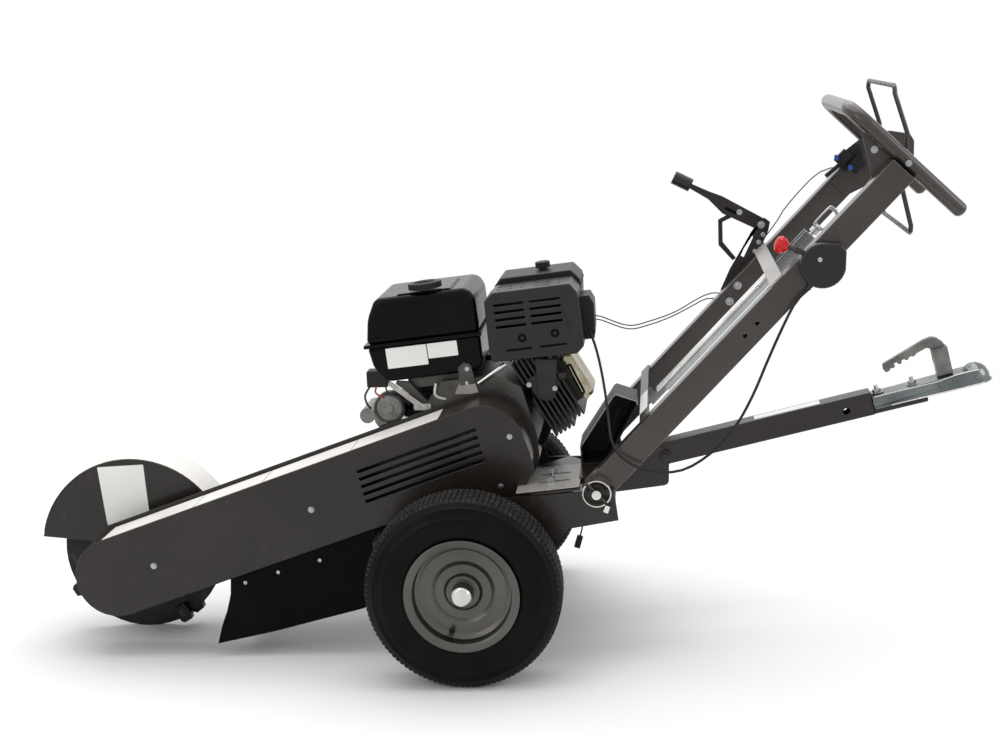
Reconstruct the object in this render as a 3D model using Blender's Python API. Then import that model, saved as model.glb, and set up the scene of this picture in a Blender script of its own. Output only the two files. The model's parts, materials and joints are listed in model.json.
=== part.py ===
"""Tow-behind petrol stump grinder, modelled as separate pieces with joints.

Metres, +Z up.  X runs from the cutter (-X) to the tow coupler (+X), -Y is the
belt-guard side.  While it is built the origin is on the ground under the axle;
at the end everything hangs from one empty that centres the length on X = 0.
"""
import math

import bmesh
import bpy
from mathutils import Matrix, Vector

# ---------------------------------------------------------------- sizes
GAP = 0.0003
SEGMENTS = 32

WHEEL_RADIUS = 0.2032
WHEEL_Y = 0.350
TYRE_HALF = 0.055
RIM_SEAT = 0.1028
RIM_WALL = 0.0026
AXLE_RADIUS = 0.0125
HUB_RADIUS = 0.024
HUB_HALF = 0.050

CUT_X = -0.787
CUT_Z = 0.1845
DISC_RADIUS = 0.1838
DISC_HALF = 0.006
TOOTH_REACH = 0.1935
TOOTH_STATIONS = 4
TOOTH_PHASE = 36.0
SHAFT_RADIUS = 0.0150

HOOD_X = -0.789
HOOD_Z = 0.195
HOOD_RADIUS = 0.2175
HOOD_HALF = 0.055
HOOD_SHEET = 0.003

GUARD_FRONT = -0.210
GUARD_BACK = -0.108
GUARD_SHEET = 0.0025
GUARD_RADIUS = 0.0885
GUARD_LENGTH = 0.957
GUARD_END_DROP = 0.128
GUARD_CORNER = 0.088
BACKPLATE_SHEET = 0.003
SLOT_COUNT = 5
SLOT_PITCH = 0.0167

BOOM_HALF = HOOD_HALF + GAP
BOOM_SHEET = 0.006
BOOM_DEPTH = 0.100

TILT = math.radians(5.5)
SIDE_OUT = 0.270
SIDE_SHEET = 0.006
DECK_SHEET = 0.005
DECK_X = 0.200
DECK_Z = 0.385

CASE_END = 0.090
HEAD_END = 0.216
CRANK_X = 0.030
CRANK_Z = 0.470
CYLINDER_TILT = math.radians(30.0)
CRANK_PULLEY = 0.045
CUT_PULLEY = 0.055
MUFFLER_SHEET = 0.004
BELT_DEPTH = 0.008
BELT_Y = -0.160
BELT_HALF = 0.013

TUBE_WIDTH = 0.057
TUBE_DEPTH = 0.040
TUBE_WALL = 0.003
TUBE_OUT = 0.258
TUBE_ANGLE = math.radians(45.95)
TUBE_LENGTH = 0.8890
TUBE_TAIL = 0.016
PIVOT_X = 0.274
PIVOT_Z = 0.380
PIN_RADIUS = 0.010

LOOP_RADIUS = 0.0155
LOOP_Y = 0.2340
BAIL_RADIUS = 0.005
BAIL_Y = 0.200
BAIL_ALONG = 0.9077
BAIL_ACROSS = 0.0044

TOWER_SEAT = 0.3925
TOWER_FRONT = -0.100
TOWER_DEEP = 0.110

BAR_SIZE = 0.050
COUPLER_LOW = -0.0105
FLANGE_HALF = 0.0345
HANDLE_RISE = 0.0545
BAR_WALL = 0.004
BAR_ANGLE = math.radians(12.93)
BAR_X0 = 0.3150
BAR_X1 = 0.8650
BAR_Z = 0.3965
BAR_ZX = 0.4200
COUPLER_TIP = 1.115133

# ---------------------------------------------------------------- materials
PAINT = (0.045, 0.038, 0.034, 1.0)


def shade(obj, name, colour, rough, metal=0.0):
    mat = bpy.data.materials.get(name)
    if mat is None:
        mat = bpy.data.materials.new(name)
        mat.use_nodes = True
        node = mat.node_tree.nodes["Principled BSDF"]
        node.inputs["Base Color"].default_value = colour
        node.inputs["Roughness"].default_value = rough
        node.inputs["Metallic"].default_value = metal
    obj.data.materials.clear()
    obj.data.materials.append(mat)
    return obj


def painted(obj):
    return shade(obj, "graphite_paint", PAINT, 0.45)


def black(obj):
    return shade(obj, "black_plastic", (0.012, 0.012, 0.012, 1.0), 0.5)


def rubber(obj):
    return shade(obj, "rubber", (0.010, 0.010, 0.010, 1.0), 0.8)


def zinc(obj):
    return shade(obj, "zinc_plate", (0.55, 0.60, 0.62, 1.0), 0.3, 1.0)


def steel(obj):
    return shade(obj, "bright_steel", (0.60, 0.59, 0.57, 1.0), 0.3, 1.0)


def alloy(obj):
    return shade(obj, "cast_alloy", (0.42, 0.41, 0.39, 1.0), 0.5, 0.8)


# ---------------------------------------------------------------- helpers
def scene_object(name, mesh):
    obj = bpy.data.objects.new(name, mesh)
    bpy.context.scene.collection.objects.link(obj)
    return obj


def finish(name, bm, smooth=False):
    bmesh.ops.remove_doubles(bm, verts=bm.verts, dist=1e-6)
    bmesh.ops.recalc_face_normals(bm, faces=bm.faces)
    mesh = bpy.data.meshes.new(name)
    bm.to_mesh(mesh)
    bm.free()
    if smooth:
        mesh.shade_smooth()
        mesh.set_sharp_from_angle(angle=math.radians(35))
    return scene_object(name, mesh)


def prism(name, outline, y0, y1, smooth=False):
    """Extrude a closed X-Z outline along Y."""
    bm = bmesh.new()
    face = bm.faces.new([bm.verts.new((x, y0, z)) for x, z in outline])
    out = bmesh.ops.extrude_face_region(bm, geom=[face])
    moved = [v for v in out["geom"] if isinstance(v, bmesh.types.BMVert)]
    bmesh.ops.translate(bm, verts=moved, vec=(0.0, y1 - y0, 0.0))
    return finish(name, bm, smooth)


def slab(name, outline, z0, z1, smooth=False):
    """Extrude a closed X-Y outline along Z."""
    bm = bmesh.new()
    face = bm.faces.new([bm.verts.new((x, y, z0)) for x, y in outline])
    out = bmesh.ops.extrude_face_region(bm, geom=[face])
    moved = [v for v in out["geom"] if isinstance(v, bmesh.types.BMVert)]
    bmesh.ops.translate(bm, verts=moved, vec=(0.0, 0.0, z1 - z0))
    return finish(name, bm, smooth)


def box(name, low, high, bevel=0.0):
    bm = bmesh.new()
    size = [b - a for a, b in zip(low, high)]
    mid = [(a + b) / 2 for a, b in zip(low, high)]
    matrix = Matrix.Translation(mid) @ Matrix.Diagonal((*size, 1.0))
    bmesh.ops.create_cube(bm, size=1.0, matrix=matrix)
    if bevel > 0.0:
        bmesh.ops.bevel(bm, geom=bm.edges[:], offset=bevel, segments=2,
                        profile=0.5, affect="EDGES")
    return finish(name, bm)


def turned(name, profile, centre, steps=SEGMENTS, axis="Y", phase=0.0):
    """Spin a closed (radius, along) profile about an axis through centre."""
    turn = {"Y": Matrix.Identity(3), "Z": Matrix.Rotation(math.pi / 2, 3, "X"),
            "X": Matrix.Rotation(-math.pi / 2, 3, "Z")}[axis]
    bm = bmesh.new()
    start = Matrix.Rotation(phase, 3, "Y")
    ring = [bm.verts.new(start @ Vector((r, a, 0.0))) for r, a in profile]
    edges = [bm.edges.new((ring[i], ring[(i + 1) % len(ring)]))
             for i in range(len(ring))]
    bmesh.ops.spin(bm, geom=ring + edges, cent=(0, 0, 0), axis=(0, 1, 0),
                   angle=2 * math.pi, steps=steps, use_merge=True)
    bmesh.ops.remove_doubles(bm, verts=bm.verts, dist=1e-6)
    loose = [e for e in bm.edges if not e.link_faces]
    bmesh.ops.delete(bm, geom=loose, context="EDGES")
    bmesh.ops.transform(bm, matrix=turn.to_4x4(), verts=bm.verts)
    bmesh.ops.translate(bm, verts=bm.verts, vec=centre)
    return finish(name, bm, smooth=True)


def rod(name, radius, start, end, steps=16):
    """A plain round bar between two points."""
    a, b = Vector(start), Vector(end)
    length = (b - a).length
    bm = bmesh.new()
    bmesh.ops.create_cone(bm, cap_ends=True, segments=steps, radius1=radius,
                          radius2=radius, depth=length)
    turn = Vector((0, 0, 1)).rotation_difference(b - a).to_matrix().to_4x4()
    bmesh.ops.transform(bm, matrix=Matrix.Translation((a + b) / 2) @ turn,
                        verts=bm.verts)
    return finish(name, bm, smooth=True)


def swept(name, points, radius, resolution=3, cyclic=False):
    """A round tube along a poly line, made from a bevelled curve."""
    curve = bpy.data.curves.new(name, "CURVE")
    curve.dimensions = "3D"
    curve.bevel_depth = radius
    curve.bevel_resolution = resolution
    curve.use_fill_caps = True
    spline = curve.splines.new("POLY")
    spline.points.add(len(points) - 1)
    for item, co in zip(spline.points, points):
        item.co = (*co, 1.0)
    spline.use_cyclic_u = cyclic
    return scene_object(name, curve)


def smooth_route(knots, spacing):
    """Points at even spacing along a Catmull-Rom curve through the knots."""
    pts = [Vector(k) for k in knots]
    pts = [2 * pts[0] - pts[1]] + pts + [2 * pts[-1] - pts[-2]]
    fine = []
    for i in range(1, len(pts) - 2):
        p0, p1, p2, p3 = pts[i - 1:i + 3]
        for k in range(40):
            t = k / 40
            fine.append(0.5 * ((2 * p1) + (p2 - p0) * t
                               + (2 * p0 - 5 * p1 + 4 * p2 - p3) * t * t
                               + (3 * p1 - p0 - 3 * p2 + p3) * t ** 3))
    fine.append(pts[-2])
    total = sum((b - a).length for a, b in zip(fine, fine[1:]))
    count = max(2, round(total / spacing))
    out, run, want = [fine[0]], 0.0, total / count
    for a, b in zip(fine, fine[1:]):
        step = (b - a).length
        while run + step >= want - 1e-9 and len(out) < count:
            out.append(a + (b - a) * ((want - run) / step))
            want += total / count
        run += step
    out.append(fine[-1])
    return [tuple(p) for p in out]


def boolean(target, tools, operation):
    for tool in tools:
        mod = target.modifiers.new(operation.lower(), "BOOLEAN")
        mod.operation = operation
        mod.solver = "EXACT"
        mod.object = tool
        with bpy.context.temp_override(object=target, active_object=target):
            bpy.ops.object.modifier_apply(modifier=mod.name)
        bpy.data.objects.remove(tool)
    return target


def cut(target, *tools):
    return boolean(target, tools, "DIFFERENCE")


def join(target, *tools):
    return boolean(target, tools, "UNION")


def turn_about(objs, angle, x, z):
    """Turn pieces about the Y axis through (x, z); positive lifts +X."""
    matrix = (Matrix.Translation((x, 0, z)) @ Matrix.Rotation(-angle, 4, "Y")
              @ Matrix.Translation((-x, 0, -z)))
    for obj in objs:
        obj.data.transform(matrix)
    return objs


def arc(x, z, radius, start, end, count):
    """Points on a circle from one angle to another, in degrees."""
    out = []
    for i in range(count + 1):
        a = math.radians(start + (end - start) * i / count)
        out.append((x + radius * math.cos(a), z + radius * math.sin(a)))
    return out


def mirrored(obj, name):
    """A copy on the other side of the Y = 0 plane."""
    mesh = obj.data.copy()
    mesh.name = name
    mesh.transform(Matrix.Diagonal((1.0, -1.0, 1.0, 1.0)))
    mesh.flip_normals()
    return scene_object(name, mesh)


def pivot(name, x, y, z, parent=None):
    empty = bpy.data.objects.new(name, None)
    bpy.context.scene.collection.objects.link(empty)
    empty.location = (x, y, z)
    if parent is not None:
        empty.parent = parent
        empty.location = Vector((x, y, z)) - parent.matrix_world.translation
    bpy.context.view_layer.update()
    return empty


def hang(parent, *objs):
    """Parent pieces to an empty without moving them."""
    for obj in objs:
        obj.parent = parent
        obj.matrix_parent_inverse = parent.matrix_world.inverted()


# ---------------------------------------------------------------- wheels
def tyre(name, side):
    """Hollow tyre, open to the rim, with a flat of its tread on the ground."""
    half = [(0.1045, 0.0475), (0.1195, 0.0485), (0.1360, 0.0550),
            (0.1580, 0.0550), (0.1800, 0.0500), (0.1985, 0.0370),
            (WHEEL_RADIUS, 0.0280)]
    inner = [(0.1930, 0.0240), (0.1800, 0.0400), (0.1580, 0.0460),
             (0.1370, 0.0455), (0.1200, 0.0390), (0.1045, 0.0370)]
    profile = (half + [(r, -a) for r, a in reversed(half)]
               + [(r, -a) for r, a in reversed(inner)] + inner)
    grow = 1.0 / math.cos(math.pi / SEGMENTS)
    obj = turned(name, [(r * grow, a) for r, a in profile],
                 (0, side * WHEEL_Y, WHEEL_RADIUS),
                 phase=math.pi / 2 + math.pi / SEGMENTS)
    return rubber(obj)


def rim(name, side):
    """Pressed barrel, dished web and hub as one turning, valve hole cut."""
    seat = RIM_SEAT
    bed = seat - RIM_WALL
    hub_in = HUB_HALF - 0.004
    bore = AXLE_RADIUS + 2 * GAP
    outer = [(0.1185, 0.0525), (0.1080, 0.0505), (seat, 0.0470),
             (seat, 0.0350), (seat - 0.010, 0.0270),
             (seat - 0.010, -0.0200), (seat, -0.0290), (seat, -0.0470),
             (0.1080, -0.0505), (0.1185, -0.0525)]
    web = [(0.1170, -0.0550), (bed, -0.0490), (bed, -0.0300),
           (bed - 0.010, -0.0240), (0.0700, -0.0250), (0.0560, -0.0170),
           (0.0400, -0.0170), (0.0340, -0.0270), (HUB_RADIUS, -0.0270),
           (HUB_RADIUS, -HUB_HALF), (bore, -HUB_HALF), (bore, hub_in),
           (HUB_RADIUS, hub_in), (HUB_RADIUS, -0.0235),
           (0.0325, -0.0235), (0.0385, -0.0135), (0.0575, -0.0135),
           (0.0715, -0.0215), (bed - 0.010, -0.0200),
           (bed - 0.010, 0.0260), (bed, 0.0345), (bed, 0.0490),
           (0.1170, 0.0550)]
    obj = turned(name, outer + web, (0, 0, 0), steps=20)
    cut(obj, box("valve_hole", (-0.030, -0.040, -0.088),
                 (-0.022, 0.0, -0.076)))
    if side > 0:
        obj.data.transform(Matrix.Diagonal((1.0, -1.0, 1.0, 1.0)))
        obj.data.flip_normals()
    obj.data.transform(Matrix.Translation((0, side * WHEEL_Y, WHEEL_RADIUS)))
    return shade(obj, "rim_enamel", (0.33, 0.33, 0.33, 1.0), 0.4, 0.3)


def wheel(tag, side):
    axis = pivot(tag + "_wheel_axis", 0, side * WHEEL_Y, WHEEL_RADIUS)
    hang(axis, tyre("tyre_" + tag, side), rim("rim_" + tag, side))
    return axis


def axle():
    """Axle bar with its spacer sleeves and domed end nuts, as one turning."""
    cap = WHEEL_Y + HUB_HALF + GAP
    sleeve = WHEEL_Y - HUB_HALF + 0.004 - 2 * GAP
    face = SIDE_OUT + GAP
    half = [(0.0, cap + 0.0140), (0.0170, cap + 0.0125),
            (0.0215, cap + 0.0080), (0.0220, cap), (AXLE_RADIUS, cap),
            (AXLE_RADIUS, sleeve), (0.0190, sleeve), (0.0190, face),
            (AXLE_RADIUS, face)]
    profile = half + [(r, -a) for r, a in reversed(half)]
    return steel(turned("axle", profile, (0, 0, WHEEL_RADIUS), steps=20))


# ---------------------------------------------------------------- chassis
def deck_z(x):
    return DECK_Z + (x - DECK_X) * math.tan(TILT)


def chassis():
    ends = [(0.309, 0.3860), (0.317, 0.319), (0.213, 0.302),
            (0.184, 0.263), (0.100, 0.165), (-0.050, 0.160),
            (-0.120, 0.235), (-0.200, 0.245)]
    inner = SIDE_OUT - SIDE_SHEET
    lap = inner + 0.003
    behind = GUARD_BACK + BACKPLATE_SHEET + 0.001
    clear = 0.278
    near = prism("chassis_frame", [(-0.200, clear), (-0.128, clear),
                                   (-0.110, deck_z(-0.110))] + ends,
                 -SIDE_OUT, -inner)
    far = prism("far", [(-0.200, deck_z(-0.200)), (0.120, deck_z(0.120)),
                        (0.136, 0.318), (0.236, 0.318),
                        (0.247, 0.3860)] + ends, inner, SIDE_OUT)
    low = DECK_SHEET / math.cos(TILT)

    deck = slab("deck", [(-0.200, behind), (0.1365, behind), (0.1365, -lap),
                         (0.240, -lap), (0.231, -0.030), (0.205, 0.010),
                         (0.105, -0.075), (0.105, 0.130), (0.120, 0.130),
                         (0.120, lap), (-0.200, lap)],
                -0.5 * DECK_SHEET, 0.5 * DECK_SHEET)
    shear = Matrix.Identity(4)
    shear[2][0] = math.tan(TILT)
    shear[2][3] = deck_z(0.0) - 0.5 * low
    deck.data.transform(shear)
    slots = []
    for y in (-0.205, -0.145):
        slots.append(box("slot", (0.150, y - 0.0045, 0.30),
                         (0.215, y + 0.0045, 0.45)))
    cut(deck, *slots)
    front = prism("front", [(-0.200, 0.250), (-0.192, 0.250),
                            (-0.192, deck_z(-0.196)), (-0.200,
                            deck_z(-0.200))], behind, lap)
    low_front = box("low_front", (-0.200, -lap, 0.250),
                    (-0.192, behind + 0.01, clear))
    rear = prism("rear", [(0.296, 0.322), (0.302, 0.322), (0.302, 0.3445),
                          (0.296, 0.3445)], -lap, lap)
    belly = prism("belly", [(0.100, 0.175), (0.184, 0.2720),
                            (0.213, 0.3065), (0.302, 0.3190),
                            (0.302, 0.3240), (0.210, 0.3115),
                            (0.180, 0.2755), (0.100, 0.181)], -lap, lap)
    seat = box("seat", (0.234, -0.205, 0.3800), (0.290, 0.030, TOWER_SEAT))
    join(near, far, deck, front, low_front, belly, rear, seat)
    holes = [rod("bore", AXLE_RADIUS + 2 * GAP, (0, -0.3, WHEEL_RADIUS),
                 (0, 0.3, WHEEL_RADIUS), 20)]
    cut(near, *holes)
    join(near, *pivot_pins())
    return painted(near)


def boom():
    """Two arms and a box beam that carry the cutter ahead of the chassis."""
    ang = math.atan2(deck_z(-0.2) - 0.055 - CUT_Z, -0.2004 - CUT_X)
    reach = math.hypot(deck_z(-0.2) - 0.055 - CUT_Z, -0.2004 - CUT_X)
    half = BOOM_DEPTH / 2
    tip = arc(0, 0, half * 0.9, 90, 270, 10)
    outline = tip + [(reach - 0.012, -half), (reach - 0.012, half)]
    parts = []
    for side in (-1, 1):
        lo = side * BOOM_HALF
        hi = side * (BOOM_HALF + BOOM_SHEET)
        parts.append(prism("boom", outline, min(lo, hi), max(lo, hi)))
    cheek = BOOM_HALF + 0.002
    beam = box("beam", (0.235, -cheek, -half + 0.004),
               (reach - 0.012, cheek, half - 0.014))
    hollow = box("hollow", (0.240, -BOOM_HALF + 0.006, -half + 0.010),
                 (reach, BOOM_HALF - 0.006, half - 0.020))
    cut(beam, hollow)
    obj = join(parts[0], parts[1], beam)
    obj.data.transform(Matrix.Translation((CUT_X, 0, CUT_Z))
                       @ Matrix.Rotation(-ang, 4, "Y"))
    limit = box("limit", (-0.2000 - GAP, -0.3, 0.1), (0.2, 0.3, 0.6))
    cut(obj, limit)
    join(obj, *bearings())
    cut(obj, rod("bore", SHAFT_RADIUS + GAP, (CUT_X, -0.2, CUT_Z),
                 (CUT_X, 0.2, CUT_Z), 24))
    return painted(obj)


def bearings():
    """Flanged bearing housings bolted outside the arms."""
    out = []
    face = BOOM_HALF + BOOM_SHEET - 0.001
    for side in (-1, 1):
        base, outer = side * face, side * (face + 0.024)
        step = side * (face + 0.012)
        body = prism("bearing", arc(CUT_X, CUT_Z, 0.036, 0, 342, 19),
                     min(base, outer), max(base, outer), smooth=True)
        foot = box("foot", (CUT_X, min(base, step), CUT_Z - 0.014),
                   (CUT_X + 0.062, max(base, step), CUT_Z + 0.014))
        out.append(join(body, foot))
    return out


def hood():
    start, end = 169.6, -2.0
    edge = arc(HOOD_X, HOOD_Z, HOOD_RADIUS, end, start, 26)
    obj = prism("cutter_hood", edge, -HOOD_HALF, HOOD_HALF)
    inner = HOOD_RADIUS - HOOD_SHEET
    low = [(HOOD_X - 0.30, HOOD_Z - 0.10), (HOOD_X + 0.30, HOOD_Z - 0.10)]
    hollow = prism("hollow", arc(HOOD_X, HOOD_Z, inner, -20.0, 190.0, 30)
                   + low, -HOOD_HALF + HOOD_SHEET, HOOD_HALF - HOOD_SHEET)
    cut(obj, hollow)
    return painted(obj)


def skirt():
    """Steel side skirt that keeps chips under the boom."""
    outline = [(-0.530, 0.172), (-0.533, 0.144), (-0.543, 0.108),
               (-0.557, 0.073), (-0.570, 0.030), (-0.447, 0.056),
               (-0.250, 0.106), (-0.205, 0.120), (-0.205, 0.262),
               (-0.260, 0.250)]
    near = prism("skirt_near", outline, -0.2040, -0.2000)
    leg = prism("leg", [(-0.300, 0.228), (-0.2055, 0.250),
                        (-0.2055, 0.257), (-0.300, 0.236)],
                -0.2010, -BOOM_HALF - BOOM_SHEET - GAP)
    join(near, leg)
    return [painted(near), painted(mirrored(near, "skirt_far"))]


def flap():
    """Rubber curtain across the machine between the skirts."""
    obj = prism("rubber_flap", [(-0.5200, 0.040), (-0.5140, 0.040),
                                (-0.4900, 0.1290), (-0.4960, 0.1290)],
                -0.1997, 0.1997)
    return rubber(obj)


# ---------------------------------------------------------------- cutter
def cutter():
    axis = pivot("cutter_axis", CUT_X, 0, CUT_Z)
    where = (CUT_X, 0, CUT_Z)
    disc = turned("cutter_disc", [(SHAFT_RADIUS + GAP, -DISC_HALF),
                                  (DISC_RADIUS, -DISC_HALF),
                                  (DISC_RADIUS, DISC_HALF),
                                  (SHAFT_RADIUS + GAP, DISC_HALF)],
                  (0, 0, 0), steps=48, phase=math.pi / 2)
    for k in range(TOOTH_STATIONS):
        ang = math.radians(-TOOTH_PHASE - 20.0 + 360 / TOOTH_STATIONS * k)
        for side in (-1, 1):
            lo = side * (DISC_HALF - 0.001)
            hi = side * (DISC_HALF + 0.017)
            lean = ang + side * math.radians(4.0)
            tooth = prism("tooth", [(-0.014, DISC_RADIUS - 0.030),
                                    (0.012, DISC_RADIUS - 0.030),
                                    (0.016, DISC_RADIUS + 0.002),
                                    (0.010, TOOTH_REACH),
                                    (-0.010, TOOTH_REACH),
                                    (-0.016, DISC_RADIUS - 0.004)],
                          min(lo, hi), max(lo, hi))
            tooth.data.transform(Matrix.Rotation(math.pi / 2 - lean, 4, "Y"))
            join(disc, tooth)
    disc.data.transform(Matrix.Translation(where))
    lock = turned("flange", [(SHAFT_RADIUS + GAP, DISC_HALF - 0.001),
                             (0.0450, DISC_HALF - 0.001),
                             (0.0450, 0.0300),
                             (SHAFT_RADIUS + GAP, 0.0300)], where, steps=24)
    join(disc, lock)
    shade(disc, "cutter_steel", (0.015, 0.015, 0.016, 1.0), 0.5, 0.6)
    shaft = turned("cutter_shaft",
                   [(0, -0.1950), (SHAFT_RADIUS, -0.1950),
                    (SHAFT_RADIUS, -0.0300), (0.0450, -0.0300),
                    (0.0450, -DISC_HALF - GAP),
                    (SHAFT_RADIUS, -DISC_HALF - GAP),
                    (SHAFT_RADIUS, 0.1180), (0, 0.1180)], where, steps=20)
    join(shaft, grooved("pulley", CUT_PULLEY, SHAFT_RADIUS - 0.001, where))
    steel(shaft)
    hang(axis, disc, shaft)
    return axis


def grooved(name, radius, bore, where):
    """A double-groove pulley; the belt seats between its rims."""
    y = BELT_Y
    w = BELT_HALF
    rim_r = radius + 0.004
    floor = radius - BELT_DEPTH
    prof = [(bore, y - w - 0.006), (rim_r, y - w - 0.006),
            (rim_r, y - w - GAP), (floor, y - w + 0.003),
            (floor, y + w - 0.003), (rim_r, y + w + GAP),
            (rim_r, y + w + 0.006), (bore, y + w + 0.006)]
    return turned(name, prof, where, steps=24, phase=0.04)


# ---------------------------------------------------------------- belt drive
def guard_frame():
    """Matrix from guard coordinates (along, y, across) to the machine."""
    ang = math.radians(18.75)
    return (Matrix.Translation((CUT_X, 0, CUT_Z + 0.0010))
            @ Matrix.Rotation(-ang, 4, "Y"))


def guard_outline(extra=0.0):
    r = GUARD_RADIUS + extra
    end = GUARD_LENGTH + extra
    c = GUARD_CORNER + extra
    low = -GUARD_END_DROP - extra
    out = arc(0, 0, r, 270, 90, 20)
    out += arc(end - c, r - c, c, 90, 0, 10)
    out += arc(end - c, low + c, c, 0, -90, 10)
    out += [(GUARD_LENGTH - 0.197, low), (GUARD_LENGTH - 0.237, -r)]
    return out


def guard():
    cover = prism("belt_guard", guard_outline(), GUARD_FRONT, GUARD_BACK)
    hollow = prism("hollow", guard_outline(-GUARD_SHEET),
                   GUARD_FRONT + GUARD_SHEET, GUARD_BACK + 0.05)
    cut(cover, hollow)
    for i in range(SLOT_COUNT):
        z = 0.0400 - SLOT_PITCH * i
        x = GUARD_LENGTH - 0.361 - 0.0018 * i
        cut(cover, box("slot", (x, GUARD_FRONT - 0.02, z - 0.0030),
                       (x + 0.272, GUARD_FRONT + 0.02, z + 0.0030)))
    cover.data.transform(guard_frame())
    plate = prism("guard_backplate", guard_outline(0.009), GUARD_BACK + GAP,
                  GUARD_BACK + GAP + BACKPLATE_SHEET)
    plate.data.transform(guard_frame())
    cut(plate, rod("bore", 0.024, (CUT_X, -0.2, CUT_Z),
                   (CUT_X, 0, CUT_Z), 20),
        rod("bore", 0.042, (CRANK_X, -0.2, CRANK_Z),
            (CRANK_X, 0, CRANK_Z), 24))
    standoffs = []
    for x, z in ((0.115, 0.0), (0.450, 0.0)):
        standoffs.append(rod("standoff", 0.008, (x, GUARD_BACK + 0.002, z),
                             (x, -BOOM_HALF - BOOM_SHEET - GAP, z), 10))
    for item in standoffs:
        item.data.transform(guard_frame())
    join(plate, *standoffs)
    return [painted(cover), painted(plate)]


def belt():
    """One band round both pulleys, as wide as the twin belts."""
    dx, dz = CRANK_X - CUT_X, CRANK_Z - CUT_Z
    span = math.hypot(dx, dz)
    ang = math.atan2(dz, dx)
    seats = []
    for grow in (0.0, -BELT_DEPTH + GAP * 2):
        r0, r1 = CUT_PULLEY + grow, CRANK_PULLEY + grow
        lean = math.degrees(math.asin((r0 - r1) / span))
        seats.append(arc(0, 0, r0, 270 - lean, 90 + lean, 16)
                     + arc(span, 0, r1, 90 + lean, -90 - lean, 16))
    half = BELT_HALF - 0.0035
    obj = prism("drive_belt", seats[0], BELT_Y - half, BELT_Y + half,
                smooth=True)
    cut(obj, prism("inside", seats[1], BELT_Y - 0.05, BELT_Y + 0.05))
    obj.data.transform(Matrix.Translation((CUT_X, 0, CUT_Z))
                       @ Matrix.Rotation(-ang, 4, "Y"))
    return rubber(obj)


# ---------------------------------------------------------------- engine
def engine_turn(*objs):
    turn_about(objs, TILT, CRANK_X, CRANK_Z)
    return list(objs)


def engine_box(name, u0, u1, v0, v1, y0, y1, bevel=0.0):
    obj = box(name, (CRANK_X + u0, y0, CRANK_Z + v0),
              (CRANK_X + u1, y1, CRANK_Z + v1), bevel)
    return engine_turn(obj)[0]


def engine_prism(name, pts, y0, y1):
    obj = prism(name, [(CRANK_X + u, CRANK_Z + v) for u, v in pts], y0, y1)
    return engine_turn(obj)[0]


def crankcase():
    foot = -(CRANK_Z - deck_z(CRANK_X)) * math.cos(TILT) + GAP
    obj = engine_prism("engine_crankcase",
                       [(-0.130, foot), (0.096, foot),
                        (0.096, foot + 0.012), (CASE_END, foot + 0.016),
                        (CASE_END, -0.042), (0.112, -0.030),
                        (0.090, 0.090), (0.040, 0.122),
                        (-0.080, 0.122), (-0.118, 0.080), (-0.124, 0.000),
                        (-0.100, foot + 0.020), (-0.130, foot + 0.012)],
                       -0.098, 0.098)
    arms = [engine_prism("arm", [(-0.116, 0.070), (-0.100, 0.060),
                                 (-0.150, 0.128), (-0.178, 0.1330),
                                 (-0.180, 0.1285)], -0.095, -0.080),
            engine_prism("arm", [(-0.040, 0.112), (-0.006, 0.112),
                                 (-0.010, 0.150), (-0.024, 0.160),
                                 (-0.038, 0.150)], -0.1060, -0.1003),
            engine_box("foot", -0.038, -0.008, 0.110, 0.128, -0.1040,
                       -0.0900),
            engine_box("pad", -0.150, -0.020, 0.112, 0.1349, -0.078, 0.080)]
    join(obj, *arms)
    nose = rod("nose", 0.038, (CRANK_X, -0.108 + 0.006, CRANK_Z),
               (CRANK_X, -0.080, CRANK_Z), 24)
    join(obj, nose)
    cut(obj, rod("bore", 0.0129, (CRANK_X, -0.25, CRANK_Z),
                 (CRANK_X, 0.25, CRANK_Z), 20))
    return alloy(obj)


def cylinder_turn(*objs):
    turn_about(objs, CYLINDER_TILT, CRANK_X, CRANK_Z)
    return list(objs)


def cylinder():
    """Finned barrel and head; the fins are one solid with the core."""
    ox, oz = CRANK_X, CRANK_Z
    obj = box("engine_cylinder", (ox + 0.118, -0.052, oz - 0.052),
              (ox + HEAD_END, 0.052, oz + 0.060))
    for i in range(8):
        x = ox + 0.124 + 0.0108 * i
        grow = 0.0 if i < 5 else -0.012
        join(obj, box("fin", (x, -0.088, oz - 0.090 - grow),
                      (x + 0.0045, 0.080, oz + 0.096 + grow)))
    cover = box("valve_cover", (ox + HEAD_END + GAP, -0.060, oz - 0.056),
                (ox + HEAD_END + 0.026, 0.060, oz + 0.050), 0.008)
    join(obj, box("shroud", (ox + 0.136, -0.0935, oz + 0.004),
                  (ox + 0.196, -0.0860, oz + 0.050)))
    cylinder_turn(obj, cover)
    foot = box("trim", (ox - 0.2, -0.2, oz - 0.2), (ox + 0.113, 0.2,
                                                     oz + 0.092))
    engine_turn(foot)
    cut(obj, foot)
    for piece in (obj, cover):
        cut(piece, engine_prism("above", [(0.0, 0.1557), (0.042, 0.1557),
                                          (0.222, 0.1532), (0.30, 0.1532),
                                          (0.30, 0.40), (0.0, 0.40)],
                                -0.20, 0.20))
    shade(obj, "black_alloy", (0.020, 0.020, 0.020, 1.0), 0.5, 0.4)
    shade(cover, "yellow_zinc", (0.55, 0.50, 0.36, 1.0), 0.35, 0.8)
    return [obj, cover]


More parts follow.
